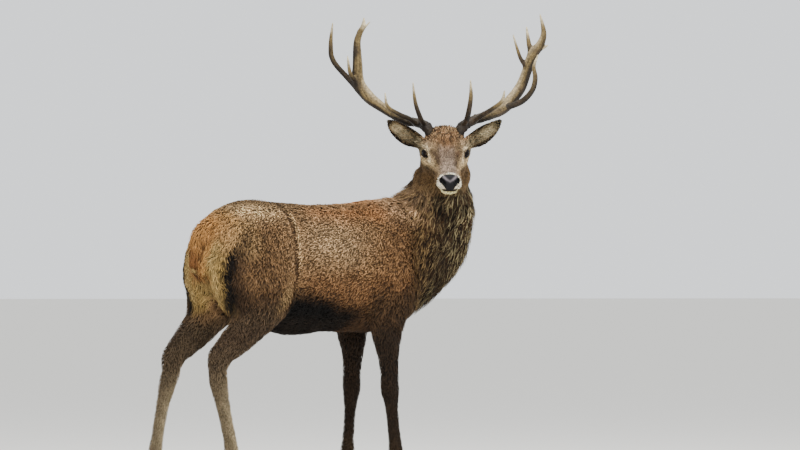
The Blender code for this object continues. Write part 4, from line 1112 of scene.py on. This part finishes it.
def locks(roots, normals, ways, sizes, steps, leave):
    """Vertices, triangles and a map of a lock at each root, from its length, half width, rise and wave.

    Along each: root - sink * normal + length * t * way + rise * sin(pi * t / 2) ** 0.7 * normal, kept at
    that rise over the skin's own curve by its leave; the half width is width * (1 - t ** 2.5), and the
    ridge stands RIDGE of it.
    """
    length, width, rise, wave = (value[:, None] for value in sizes)
    across = np.cross(ways, normals)
    rings = []
    for t in steps:
        lift = rise * math.sin(math.pi / 2 * t) ** 0.7
        middle = roots + ways * length * t + normals * lift + across * wave * math.sin(math.pi * t)
        gap = lift[:, 0] - probe(skin_field, skin_lines, middle)
        middle = middle + normals * (np.clip(gap, -0.012, 0.02) * leave * (t > 0))[:, None]
        half = width * (1 - t**2.5)
        if t == 0:
            middle = middle - normals * (SINK + SINK_SHARE * rise)
        rings += [middle - across * half, middle + normals * half * RIDGE, middle + across * half]
    rings[-3:] = [middle]
    count, spans = len(rings), ((0, 1), (1, 2), (2, 0))
    template = [(0, 2, 1)]
    for k in range(0, count - 4, 3):
        for a, b in spans:
            template += [(k + a, k + b, k + 3 + b), (k + a, k + 3 + b, k + 3 + a)]
    template += [(count - 4 + a, count - 4 + b, count - 1) for a, b in spans]
    vertices = np.stack(rings, axis=1).reshape(-1, 3)
    faces = (np.array(template)[None] + count * np.arange(len(roots))[:, None, None]).reshape(-1, 3)
    strand = [(across_it, t) for t in steps[:-1] for across_it in (0.0, 0.5, 1.0)] + [(0.5, 1.0)]
    return vertices, faces, np.array(strand)


RIDGE = 0.55  # how high a lock's ridge stands, to its half width
SINK, SINK_SHARE = 0.0012, 0.10  # how deep its root goes, and the share of its rise added
PATCH = 0.003  # each lock's own patch on the unwrap of its part of the body
# Dark near the root: partly the hair's banding, partly painted shade among the locks.
TONE = (0, 0.35, 0.8, 1), (0.28, 0.55, 1.12, 1.45)  # along a lock, and how bright its colour is there
FLOOR_GAP = 0.001


def coat_piece(name, locks_made, tips, spots):
    """A piece of coat: its locks, their colours from root to tip, and its maps."""
    vertices, faces, strand = locks_made
    vertices[:, 2] = np.maximum(vertices[:, 2], FLOOR_GAP)
    mesh = mesh_of(name, vertices - TRUNK_ORIGIN, faces)
    # Darker towards the root, partly as painted shade among the locks.
    tone = np.interp(strand[:, 1], *TONE)[None, :, None]
    pale = ramp(tips.mean(1), 0.40, 0.70)[:, None, None]
    painted(mesh, "Hair", (tips[:, None, :] * (tone * (1 - pale) + pale)).reshape(-1, 3))
    patches = spots[:, None, :] + PATCH * (strand[None] - 0.5)
    corners = faces.ravel()
    for label, rows in (("OFBake", patches.reshape(-1, 2)), ("Strand", np.tile(strand, (len(spots), 1)))):
        layer = mesh.uv_layers.new(name=label)
        layer.data.foreach_set("uv", rows[corners].astype(np.float32).ravel())
    mesh.uv_layers["OFBake"].active = True
    mesh.materials.append(hair_look)
    piece_of(name, mesh, "coat")


# Guard hair: dry and a little glossy, with fine strands down each lock.
STRANDS = 5.0
hair_look, tree, shader = surface("guard_hair")
paint = node(tree, "Attribute", attribute_name="Hair")
strand_map = node(tree, "UVMap", uv_map="Strand")
squeeze = node(tree, "Mapping", {"Vector": strand_map}, Scale=(STRANDS, 0.6, 1))
place = node(tree, "TexCoord").outputs["Object"]
apart = node(tree, "VectorMath", {0: squeeze, 1: place}, operation="ADD")
streaks = node(tree, "TexNoise", {"Vector": apart}, Scale=3.0, Detail=2.0)
shade = speckled(tree, paint, streaks, 0.72, 1.22)
relief = node(tree, "Bump", {"Height": streaks}, Strength=0.5, Distance=0.0006)
node(tree, shader, {"Base Color": shade, "Normal": relief}, Roughness=0.72, Specular_IOR_Level=0.18)

# Each for the trunk, mane, upper leg, lower leg, tail, head and ear.
SPACING = metres(6.6, 5.6, 5.8, 4.6, 5.6, 3.5, 3.6)
LENGTH = metres(21, 52, 19, 11, 42, 8, 8.5)
HALF_WIDTH = metres(2.9, 2.3, 2.4, 1.7, 2.4, 1.25, 1.4)
SWIRL = (0.38, 0.24, 0.26, 0.14, 0.20, 0.20, 0.15)
SPECKLE = (0.40, 0.32, 0.34, 0.20, 0.24, 0.34, 0.26)
KNEE, MIDRIFF = 0.60, -0.10  # where the coat's parts meet: up, and forward
COVER = 0.87  # of the square of the spacing, the skin to one lock
BARE = 0.25  # the bare share above which no lock grows
EAR_RISE = 0.0012

random = np.random.default_rng(7)
a, b, c = (skin_points[skin_triangles[:, k]] for k in range(3))
areas = np.linalg.norm(np.cross(b - a, c - a), axis=1) / 2
middles = (a + b + c) / 3
body, face = parts_of_body(*middles.T), on_head(middles)
expected = np.where(bare_share(face, body) < BARE, areas / (COVER * by_part(body, SPACING) ** 2), 0)
counts = (expected + random.random(len(expected))).astype(int)
chosen = np.repeat(np.arange(len(areas)), counts)
first, second = np.sqrt(random.random(len(chosen))), random.random(len(chosen))
shares = np.stack([1 - first, first * (1 - second), first * second], axis=1)[:, :, None]
corners = skin_triangles[chosen]
roots = (skin_points[corners] * shares).sum(1)
root_normals = unit((skin_normals[corners] * shares).sum(1))
body, face = parts_of_body(*roots.T), on_head(roots)


def strays():
    """A random number for each lock, about nought."""
    return random.normal(size=len(roots))


swirl = 0.30 * ripple(roots, 0.045, 11) + strays() * by_part(body, SWIRL)
ways = unit(lie_of_coat(roots, root_normals, body))
ways = ways * np.cos(swirl)[:, None] + np.cross(root_normals, ways) * np.sin(swirl)[:, None]

tuft = np.clip(1 + 0.25 * ripple(roots, 0.030, 12) + 0.20 * strays(), 0.5, 1.6)
length = tuft * by_part(body, LENGTH)
width = by_part(body, HALF_WIDTH)
rise = by_part(body, COAT_DEPTH) * np.clip(0.20 + 0.55 * tuft + 0.10 * strays(), 0.3, 1.08)
rise = rise + (EAR_RISE - rise) * body["ear"]
wave = length * 0.10 * strays()

# Curls on the brow, longer hair on the rump, belly and chin, and the flank's fold, where hair stands up.
forward, across, up = face.T
brow = body["head"] * ramp(forward, 0.02, -0.04) * ramp(up, 0.0, 0.035)
length *= 1 + 0.55 * brow
rise *= 1 + 0.6 * brow
width *= 1 + 0.35 * brow
chin = body["head"] * ramp(up, -0.055, -0.085)
length *= 1 + 0.6 * chin
x, y, z = roots.T
rump = ramp(x, -0.32, -0.37) * ramp(z, 0.66, 0.72) * (1 - body["tail"])
off_head = (1 - body["head"]) * (1 - body["ear"])
belly = ramp(-root_normals[:, 2], 0.3, 0.8) * ramp(z, 0.60, 0.66) * off_head
length *= 1 + 0.35 * rump + 0.45 * belly
fold = line_gap(x, z, FLANK_FOLD)
by_fold = ramp(np.abs(y), 0.06, 0.12) * ramp(z, 0.70, 0.75) * ramp(z, 1.19, 1.15)
rise *= 1 + (0.35 * bump(fold + 0.002, 0.011) - 0.50 * bump(fold - 0.020, 0.010)) * by_fold
hollow, tips = np.zeros(len(roots)), np.zeros(len(roots))
for word, ear in ear_lofts.items():
    _, place, over_ear, _ = ear.locate(x, y, z)
    mine = body["ear"] * (np.sign(across) == SIDES[word])
    edge = np.abs(over_ear) / ear.at(place, ear.sizes[:, 0])
    run = place / (len(ear.path) - 1)
    within_rim = ramp(edge, 0.70, 0.45) * ramp(run, 0.78, 0.62)
    hollow += mine * within_rim * ramp(looking(ear, place, root_normals), 0.1, 0.5)
    tips += mine * np.maximum(ramp(edge, 0.70, 0.90), ramp(run, 0.80, 0.92))
length *= 1 - 0.55 * tips
length *= 1 + 1.6 * hollow
rise += 0.004 * hollow

# The markings at the tips, with their painted shade and highlights, mottled lock by lock: straw and dark
# locks in the mane, flecks on the brow.
colours = markings_and_painted_light(roots + root_normals * rise[:, None], root_normals)
speck = by_part(body, SPECKLE) * (1 - 0.45 * ramp(x, -0.33, -0.39)) * (1 + 0.9 * brow)
mottle = 1 + speck * strays() + 0.50 * speck * ripple(roots, 0.011, 13)
colours *= np.clip(mottle, 0.30, 2.1)[:, None]
streak = ramp(random.random(len(roots)) + 0.12 * ripple(roots, 0.018, 14), 0.62, 0.76) * body["mane"]
# Pale streaks are kept out of the painted shadow under the chin.
shadow_under_chin = (below_eye(face) > 0.15) * bump(across + 0.004, 0.034) * ramp(forward, -0.02, 0.04)
streak = streak * (1 - 0.8 * shadow_under_chin)
front = ramp(x, 0.60, 0.72)
lay(colours, "ab8a5a", 0.72 * streak * (1 - front))
lay(colours, "bfad80", 0.80 * streak * front)
colours *= (1 - 0.62 * body["mane"] * (random.random(len(roots)) < 0.35))[:, None]
lay(colours, "b8aa8a", 0.7 * hollow * (random.random(len(roots)) < 0.6))
pick = random.random(len(roots))
colours *= (1 - 0.62 * brow * (pick < 0.38))[:, None]
lay(colours, "c9a577", 0.60 * brow * (pick > 0.72))
strands = ripple(roots * np.array((1, 1, 0.12)), 0.014, 21)
beard = np.maximum(body["mane"], body["head"] * ramp(colours.mean(1), 0.22, 0.12)) * ramp(z, 0.95, 1.15)
colours *= np.clip(1 + 0.36 * strands * beard, 0.4, 1.8)[:, None]

# Each lock's place on the unwrap of its part: along the part, and round it, inner sides apart from outer.
is_ear, is_head, is_tail = (body[part] > 0.5 for part in ("ear", "head", "tail"))
free = ~(is_ear | is_head | is_tail)
low = free & (z < KNEE)
necked = free & ~low & (body["mane"] > 0.5)
trunked = free & ~low & ~necked
neck_side = np.where(neck.locate(x, y, z)[2] > 0, 1, -1)
groups = {}
for word, side in SIDES.items():
    own = np.sign(y) == side
    groups[f"coat_fore_{word}"] = low & own & (x > 0), leg_lofts[f"fore_{word}"][0]
    groups[f"coat_hind_{word}"] = low & own & (x <= 0), None
    groups[f"coat_haunch_{word}"] = trunked & own & (x < MIDRIFF), barrel
    groups[f"coat_shoulder_{word}"] = trunked & own & (x >= MIDRIFF), barrel
    groups[f"coat_neck_{word}"] = necked & (neck_side == side), neck
groups["coat_head"] = is_head, skull
groups["coat_tail"] = is_tail, tail
groups["coat_ears"] = is_ear, None


def filled(values):
    """Values stretched to run from 0 to 1."""
    return (values - values.min()) / max(np.ptp(values), 1e-6)


for name, (mine, loft) in groups.items():
    rows = np.flatnonzero(mine)
    grown = [value[rows] for value in (roots, root_normals, ways)]
    sizes = [value[rows] for value in (length, width, rise, wave)]
    facing = grown[1]
    if loft is None:
        turn = np.arctan2(facing[:, 1], facing[:, 0])
        run = z[rows] if "hind" in name else across[rows]
    else:
        _, run, over_loft, above = loft.locate(*grown[0].T)
        turn = np.arctan2(over_loft, above)
    turn = filled(turn / math.tau + 0.5)
    inner = facing[:, 1] * np.sign(y[rows]) < -0.15
    outer_share = 0.83 if loft is barrel else 0.98
    split = np.where(inner & (loft is barrel), 0.86 + 0.13 * turn, 0.01 + outer_share * turn)
    spots = np.stack([0.01 + 0.98 * filled(run), split], axis=1)
    steps = (0.0, 0.3, 0.65, 1.0) if "neck" in name else (0.0, 0.5, 1.0)
    coat_piece(name, locks(*grown, sizes, steps, off_head[rows]), colours[rows], spots)


# ---- Eyes ----
# Dark glass eyes with the deer's brown iris and level pupil, as a taxidermist sets them, wet-looking,
# held by lids whose dark bare rims follow the almond of the opening.


def circle(count):
    """Angles spaced evenly round a turn."""
    return np.linspace(0, math.tau, count, endpoint=False)


def halved(quads):
    """Each four-sided face as two triangles."""
    return np.concatenate([quads[:, [0, 1, 2]], quads[:, [0, 2, 3]]])


def closed_mesh(name, rings, ends=None):
    """A mesh through rings of points, each end closed on a point or the last ring joined to the first."""
    rows, columns = rings.shape[:2]
    points = rings.reshape(-1, 3)
    i, j = np.meshgrid(np.arange(rows if ends is None else rows - 1), np.arange(columns), indexing="ij")
    k, low, high = (j + 1) % columns, i * columns, (i + 1) % rows * columns
    faces = np.stack([low + j, low + k, high + k, high + j], axis=2).reshape(-1, 4)
    if ends is not None:
        ring, count = np.arange(columns), len(points)
        after, last = (ring + 1) % columns, count - columns
        first_cap = np.stack([np.full(columns, count), after, ring], axis=1)
        last_cap = np.stack([np.full(columns, count + 1), last + ring, last + after], axis=1)
        faces = np.concatenate([halved(faces), first_cap, last_cap])
        points = np.concatenate([points, ends])
    mesh = mesh_of(name, points, faces)
    shell = bmesh.new()
    shell.from_mesh(mesh)
    bmesh.ops.recalc_face_normals(shell, faces=shell.faces)
    shell.to_mesh(mesh)
    shell.free()
    return mesh


def in_world(face_points, side):
    """Points of the face, outward counted on a side, in the world."""
    rows = np.array(face_points, float)
    rows[..., 1] *= side
    return rows @ head_turn.T + np.array(head_frame.translation) - TRUNK_ORIGIN


CORNEA = 0.0011  # how far the clear front stands out
BALL_RINGS, BALL_POINTS, POLE = 28, 40, 0.03  # and the angle of the first and last ring from the poles
RIM_RINGS, RIM_POINTS = 72, 8
UPPER_RIM, LOWER_RIM = 0.0021, 0.0014  # the lid rim's half thicknesses
EASE, RIM_OUT = 0.0002, 0.0008  # the ball inside the lids' curve, and the rim's middle outside it
OFF_IRIS = 1.2

# Cast glass over a painted disc: brown fibres round a level oval pupil, and a dark edge to the iris.
eye_look, tree, shader = surface("glass_eye")
spot = node(tree, "UVMap", uv_map="Iris")
squash = node(tree, "Mapping", {"Vector": spot}, Scale=(1.0, 1.7, 1.0))
pupil_gap = node(tree, "VectorMath", {0: squash}, operation="LENGTH").outputs["Value"]
iris_gap = node(tree, "VectorMath", {0: spot}, operation="LENGTH").outputs["Value"]
fibres = node(tree, "TexNoise", {"Vector": spot}, Scale=14.0, Detail=3.0)
iris = node(tree, "Mix", {"Factor": fibres, 6: "070403", 7: "170d07"}, data_type="RGBA")
in_pupil = node(tree, "MapRange", {"Value": pupil_gap}, From_Min=0.40, From_Max=0.46)
dark = node(tree, "Mix", {"Factor": in_pupil, 6: "050506", 7: iris.outputs[2]}, data_type="RGBA")
at_rim = node(tree, "MapRange", {"Value": iris_gap}, From_Min=0.70, From_Max=0.84)
whole = node(tree, "Mix", {"Factor": at_rim, 6: dark.outputs[2], 7: "0d0a09"}, data_type="RGBA")
node(tree, shader, {"Base Color": whole.outputs[2]}, Roughness=0.08, Specular_IOR_Level=0.09)

# Bare lid skin: black and faintly folded, moist enough for a soft sheen.
lid_look, tree, shader = surface("bare_lid")
place = node(tree, "TexCoord").outputs["Object"]
folds = node(tree, "TexNoise", {"Vector": place}, Scale=900.0, Detail=2.0)
tint = node(tree, "Mix", {"Factor": folds, 6: "060504", 7: "15100d"}, data_type="RGBA").outputs[2]
relief = node(tree, "Bump", {"Height": folds}, Strength=0.4, Distance=0.0004)
node(tree, shader, {"Base Color": tint, "Normal": relief}, Roughness=0.50, Specular_IOR_Level=0.15)

for word, side in SIDES.items():
    # The ball by its turn round the axis of sight and its angle from it, the cornea a swell at the front.
    swing = np.linspace(POLE, math.pi - POLE, BALL_RINGS)[:, None]
    turn = circle(BALL_POINTS)[None] * side
    reach = EYE_RADIUS - EASE + CORNEA * ramp(swing, 0.60, 0.25)
    out = reach * np.sin(swing)
    ball = EYE_PLACE + (reach * np.cos(swing) + 0 * turn)[..., None] * EYE_FACING
    ball = ball + (out * np.cos(turn))[..., None] * EYE_LONG + (out * np.sin(turn))[..., None] * EYE_TALL
    poles = EYE_PLACE + np.array([[EYE_RADIUS + CORNEA], [-EYE_RADIUS]]) * EYE_FACING
    mesh = closed_mesh(f"eyeball_{word}", in_world(ball, side), in_world(poles, side))
    off = np.concatenate([ball.reshape(-1, 3), poles]) - EYE_PLACE
    iris_map = np.stack([off @ EYE_LONG, off @ EYE_TALL], axis=1) / EYE_RADIUS
    iris_map = np.where((off @ EYE_FACING > 0)[:, None], iris_map, OFF_IRIS)
    corners = read(mesh.loops, "vertex_index", np.int32)
    mesh.uv_layers.new(name="Iris").data.foreach_set("uv", iris_map[corners].astype(np.float32).ravel())
    mesh.materials.append(eye_look)
    piece_of(f"eyeball_{word}", mesh, "eye", f"eye_{word}")

    # The lid's rim: a thin tube round the almond of the opening, pressed on the ball.
    sweep = circle(RIM_RINGS)
    along, across = SLIT_LONG * np.cos(sweep), slit_half(SLIT_LONG * np.cos(sweep)) * np.sin(sweep)
    rim = along[:, None] * EYE_LONG + across[:, None] * EYE_TALL + 0.010 * EYE_FACING
    rim = unit(rim) * (EYE_RADIUS + RIM_OUT)
    outward, onward = unit(rim), unit(np.roll(rim, -1, axis=0) - np.roll(rim, 1, axis=0))
    turn = circle(RIM_POINTS)[None, :, None]
    round_it = np.cos(turn) * outward[:, None] + np.sin(turn) * np.cross(onward, outward)[:, None]
    thick = np.where(np.sin(sweep) > 0, UPPER_RIM, LOWER_RIM)[:, None, None]
    mesh = closed_mesh(f"lid_rim_{word}", in_world(EYE_PLACE + rim[:, None] + thick * round_it, side))
    mesh.materials.append(lid_look)
    piece_of(f"lid_rim_{word}", mesh, "coat")


# ---- Hooves and dew claws ----
# Black-brown horn that grows down from the coronet in fine rings: a D-shaped wall to each half hoof, flat
# to its fellow, and a short blunt claw behind.

HOOF_TOP, HOOF_WIDTH, HOOF_SLOPE = 0.031, 0.029, 0.026  # half its length at the top, width, toe's lean
HOOF_FRONT, HOOF_HEEL = 0.052, 0.030  # heights of a hoof's top edge
CLEFT, GAP = 0.003, 0.0004  # between the halves of a foot, and between horn and skin
DEW_CLAW = (0.011, 0.009, 0.017)  # half lengths
CLAW_LEAN, CLAW_UP, CLAW_BACK, CLAW_OUT = math.radians(25), 0.098, 0.034, 0.017

# Horn: black-brown, in thin growth rings that catch a dull shine.
horn_look, tree, shader = surface("hoof_horn")
place = node(tree, "TexCoord").outputs["Object"]
bands = node(tree, "Mapping", {"Vector": place}, Scale=(60, 60, 420))
rings = node(tree, "TexNoise", {"Vector": bands}, Scale=1.0, Detail=3.0)
tint = node(tree, "Mix", {"Factor": rings, 6: "15110f", 7: "4a3d32"}, data_type="RGBA").outputs[2]
relief = node(tree, "Bump", {"Height": rings}, Strength=0.7, Distance=0.0008)
node(tree, shader, {"Base Color": tint, "Normal": relief}, Roughness=0.42)


def hoof_half(x, y, way):
    """Half a hoof: rings of a D-shaped outline, from the sole's middle up the wall to the top's middle."""
    turn = circle(48)
    share = np.array([0, 0, 0.02, 0.05, *np.linspace(0.09, 0.94, 18), 0.98, 1.0, 1.0, 1.0])[:, None]
    shrink = np.array([0.02, 0.90, 0.975, 1.0, *np.ones(18), 0.985, 0.95, 0.5, 0.02])[:, None]
    toe = HOOF_TOP + HOOF_SLOPE * (1 - share)
    middle, half = (toe - HOOF_TOP) / 2, (toe + HOOF_TOP) / 2
    growth = 1 + 0.010 * np.sin(share * 46) * ramp(share, 0.05, 0.15) * ramp(share, 0.99, 0.9)
    swell = np.sin(turn)[None]
    share_out = np.where(swell > 0, 0.12 + 0.88 * np.abs(swell) ** 0.8, 0.12 * (1 + swell))
    centre_out = CLEFT / 2 + HOOF_WIDTH * 0.45
    along = middle + (half - 0.0006) * np.cos(turn) * shrink * growth
    wide = HOOF_WIDTH * (1 - 0.10 * share)
    out = (CLEFT / 2 + wide * share_out - centre_out) * shrink * np.where(swell > 0, growth, 1)
    top = HOOF_HEEL + (HOOF_FRONT - HOOF_HEEL) * (along + HOOF_TOP) / (2 * HOOF_TOP) - GAP
    return np.stack([x + along, y + way * (centre_out + out), share * top], axis=2)


def claw(x, y):
    """A dew claw: rings of an oval round its own length, blunt at the tip, faintly ringed, leant back."""
    turn = circle(24)
    down = np.linspace(-1, 1, 15)[:, None]
    body = np.sqrt(np.maximum(1 - np.abs(down) ** 2.2, 0.0004)) * (1 + 0.02 * np.sin(down * 18))
    oval = np.stack([body * np.cos(turn), body * np.sin(turn), down + 0 * turn], axis=2) * DEW_CLAW
    tilt = np.array(Matrix.Rotation(CLAW_LEAN, 3, "Y"))
    return oval @ tilt.T + (x, y, CLAW_UP)


for word, side in SIDES.items():
    for limb, xs, y in (("fore", FORE_X, FORE_SIZES[-1][1]), ("hind", CANNON_X, CANNON_SIZES[-1][1])):
        toe_x, claw_x = xs[word][-1], xs[word][-3] - CLAW_BACK
        for half, way in (("outer", side), ("inner", -side)):
            foot = f"{limb}_{word}_{half}"
            for name, rings, solid in (
                (f"horn_{foot}", hoof_half(toe_x, side * y, way), f"hoof_{foot}"),
                (f"claw_{foot}", claw(claw_x, side * y + way * CLAW_OUT), f"dew_claw_{foot}"),
            ):
                rings = rings - TRUNK_ORIGIN
                mesh = closed_mesh(name, rings, rings[[0, -1]].mean(1))
                mesh.materials.append(horn_look)
                piece_of(name, mesh, "hoof_horn", solid)


# ---- Antlers ----
# Hard cast bone, clean of velvet: a knobbed burr at the root, pearled and grooved beams stained brown by
# bark and peat, and tines rubbed smooth and pale at the tips. Each antler grows as one piece.

ANTLERS = {  # outwards, forwards and up from between the coronets, and radius
    "right": {
        "beam": metres(
            (76, 0, 0, 23), (111, -34, 22, 18), (162, -60, 31, 20), (257, -100, 89, 21),
            (316, -125, 138, 26), (355, -130, 196, 26), (362, -105, 274, 21), (366, -70, 372, 15),
            (344, -45, 434, 10), (341, -35, 468, 4),
        ),
        "brow_tine": metres((87, 0, 10, 12), (109, 65, 34, 11), (139, 130, 97, 9), (154, 165, 182, 4)),
        "bez_tine": metres(
            (115, -30, 14, 12), (154, 20, 36, 11), (199, 60, 52, 10), (254, 95, 85, 8),
            (267, 115, 141, 4),
        ),
        "trez_tine": metres(
            (357, -130, 172, 15), (401, -140, 216, 12), (466, -115, 289, 11.5), (479, -85, 356, 10),
            (474, -50, 446, 4),
        ),
        "royal_tine": metres((368, -122, 195, 10), (396, -82, 233, 9), (409, -65, 306, 4)),
        "crown_tine": metres((358, -56, 410, 7), (336, -36, 428, 5), (317, -20, 450, 4)),
    },
    "left": {
        "beam": metres(
            (76, 0, 0, 23), (124, -32, 30, 20), (190, -52, 53, 22), (261, -90, 83, 24),
            (304, -115, 125, 25), (346, -125, 181, 24), (371, -110, 249, 21), (393, -85, 319, 23),
            (421, -66, 359, 18), (435, -50, 410, 12), (416, -30, 488, 4),
        ),
        "brow_tine": metres((81, 0, 10, 12), (90, 65, 38, 12), (97, 130, 119, 10), (92, 160, 194, 4)),
        "bez_tine": metres(
            (121, -30, 24, 12), (156, 20, 50, 11), (200, 62, 79, 10), (236, 90, 110, 9),
            (245, 105, 154, 4),
        ),
        "trez_tine": metres(
            (265, -90, 86, 14), (339, -55, 114, 13), (381, -25, 160, 12), (392, -5, 212, 11),
            (385, 4, 262, 8), (402, 10, 312, 4),
        ),
        "inner_crown_tine": metres(
            (370, -104, 262, 11), (342, -90, 298, 9), (325, -80, 340, 7), (305, -70, 402, 4),
        ),
        "middle_crown_tine": metres((386, -86, 318, 12), (374, -80, 369, 10), (363, -70, 437, 4)),
        "outer_crown_tine": metres((408, -72, 344, 7), (436, -66, 346, 6), (456, -62, 358, 4)),
    },
}
BURR = tuple(metres(76, 0, 0))  # where a beam leaves its pedicle
PEDICLE = metres(16, 16, 16)  # its half width, and reach to and away from its top side


def route_loft(side, rows):
    """A tine's round body along its route; a beam's starts down in the pedicle."""
    stations = [(forward, side * out, up, radius, radius, radius) for out, forward, up, radius in rows]
    if tuple(rows[0][:3]) == BURR:
        stations.insert(0, (*metres(6, side * 62, -34), *PEDICLE))
    return Loft(placed(brow_frame, stations), (0.31, 0.22, 0.92), 2.0)


CELL, FILLET, MARGIN = 0.0031, 0.010, 0.01
GROOVE, PEARL, BURR_KNOB = 0.0007, 0.0016, 0.0014  # how high they stand

# Antler bone: dry and matt in its grooves, with pores, and stained in blotches by bark and peat; its colour
# attribute also carries painted shade and painted highlights.
bone_look, tree, shader = surface("antler_bone")
paint = node(tree, "Attribute", attribute_name="StainAndPaintedLight")
place = node(tree, "TexCoord").outputs["Object"]
blotches = node(tree, "TexNoise", {"Vector": place}, Scale=110.0, Detail=4.0)
shade = speckled(tree, paint, blotches, 0.50, 1.40)
pores = node(tree, "TexNoise", {"Vector": place}, Scale=420.0, Detail=3.0)
rough = node(tree, "MapRange", {"Value": pores}, To_Min=0.42, To_Max=0.68)
relief = node(tree, "Bump", {"Height": pores}, Strength=0.5, Distance=0.0010)
node(tree, shader, {"Base Color": shade, "Roughness": rough, "Normal": relief}, Specular_IOR_Level=0.22)

for word, side in SIDES.items():
    limbs = {name: route_loft(side, rows) for name, rows in ANTLERS[word].items()}
    low = np.min([limb.low for limb in limbs.values()], axis=0) - MARGIN
    high = np.max([limb.high for limb in limbs.values()], axis=0) + MARGIN
    lines = tuple(spaced((a, CELL), (b, CELL)) for a, b in zip(low, high))
    field = softened(sample([(limb, FILLET) for limb in limbs.values()], lines, 0.03))
    points, quads = net(field, lines)
    points = relaxed(points, quads, ROUNDS, 0.4)
    triangles = halved(quads)
    facing = normals_of(points, triangles)
    told = []
    for name, limb in limbs.items():
        _, place, across, above = limb.locate(*points.T)
        steps_along = np.concatenate([[0], np.cumsum(np.linalg.norm(np.diff(limb.path, axis=0), axis=1))])
        run = limb.at(place, steps_along)
        told.append([limb.distance(*points.T), run, steps_along[-1] - run, np.arctan2(across, above),
                     limb.at(place, limb.sizes[:, 0]), np.full(len(points), name == "beam")])
    told = np.array(told)
    _, run, tip, angle, thick, on_beam = told[told[:, 0].argmin(0), :, np.arange(len(points))].T

    # Grooves run down the beam, pearls cover its lower half, and a knobbed burr rings its root.
    twist = angle + 3.0 * run
    grooves = np.sin(9 * twist + 2.0 * ripple(points, 0.05, 21)) * 0.6 + np.sin(17 * twist + 1.0) * 0.4
    rough_share = ramp(tip, 0.03, 0.16)
    pearls = np.maximum(ripple(points, 0.0075, 22), 0) * ramp(run, 0.50, 0.10) * on_beam
    out = rough_share * (GROOVE * grooves * ramp(thick, 0.005, 0.016) + PEARL * pearls)
    burr = bump(run - 0.038, 0.0065) * on_beam
    out += burr * (BURR_KNOB + 0.0012 * np.sin(15 * angle + 2 * ripple(points, 0.02, 23)))
    points = points + facing * out[:, None]

    # Stained dark at the root and in the grooves, rubbed pale at the tips; the sides turned from the light
    # are darkened as painted shade, and those turned to it lightened as a painted highlight.
    inner = -side * np.array(brow_frame.to_3x3())[:, 1]
    # How squarely each point faces a light from above and the head's inner side: this sets the painted
    # shade and the painted highlight.
    lit = facing @ unit(0.60 * inner + np.array((-0.25, -0.35, 0.70)))
    tine = (1 - on_beam) * (thick < 0.02) * ramp(tip, 0.05, 0.12) * ramp(run + 9 * (tip > 0.30), 0.30, 0.10)
    stain_and_painted_light = np.tile(linear("6c5b3a"), (len(points), 1))
    for text, share in (
        ("1b140e", 0.97 * ramp(lit + 0.30 * ripple(points, 0.05, 25), 0.45, -0.25) * rough_share),
        ("18120d", 0.93 * ramp(run, 0.30, 0.06) * on_beam),
        ("1c1510", 0.88 * tine),
        ("1f1812", 0.60 * ramp(-grooves, 0.1, 0.9) * rough_share),
        ("b6a480", 0.55 * ramp(lit, 0.50, 0.95) * ramp(run, 0.15, 0.40)),
        ("cbbd9b", 0.75 * ramp(tip, 0.060, 0.012)),
        ("46382a", 0.40 * ramp(ripple(points, 0.035, 24), 0.2, 0.9) * rough_share),
        ("1c1510", 0.80 * burr),
    ):
        lay(stain_and_painted_light, text, share)
    mesh = mesh_of(f"antler_{word}", points - TRUNK_ORIGIN, triangles)
    painted(mesh, "StainAndPaintedLight", stain_and_painted_light)
    mesh.materials.append(bone_look)
    solids = [name for name in frame["nodes"] if name.startswith(f"antler_{word}")]
    piece_of(f"antler_{word}", mesh, "antler", *solids)
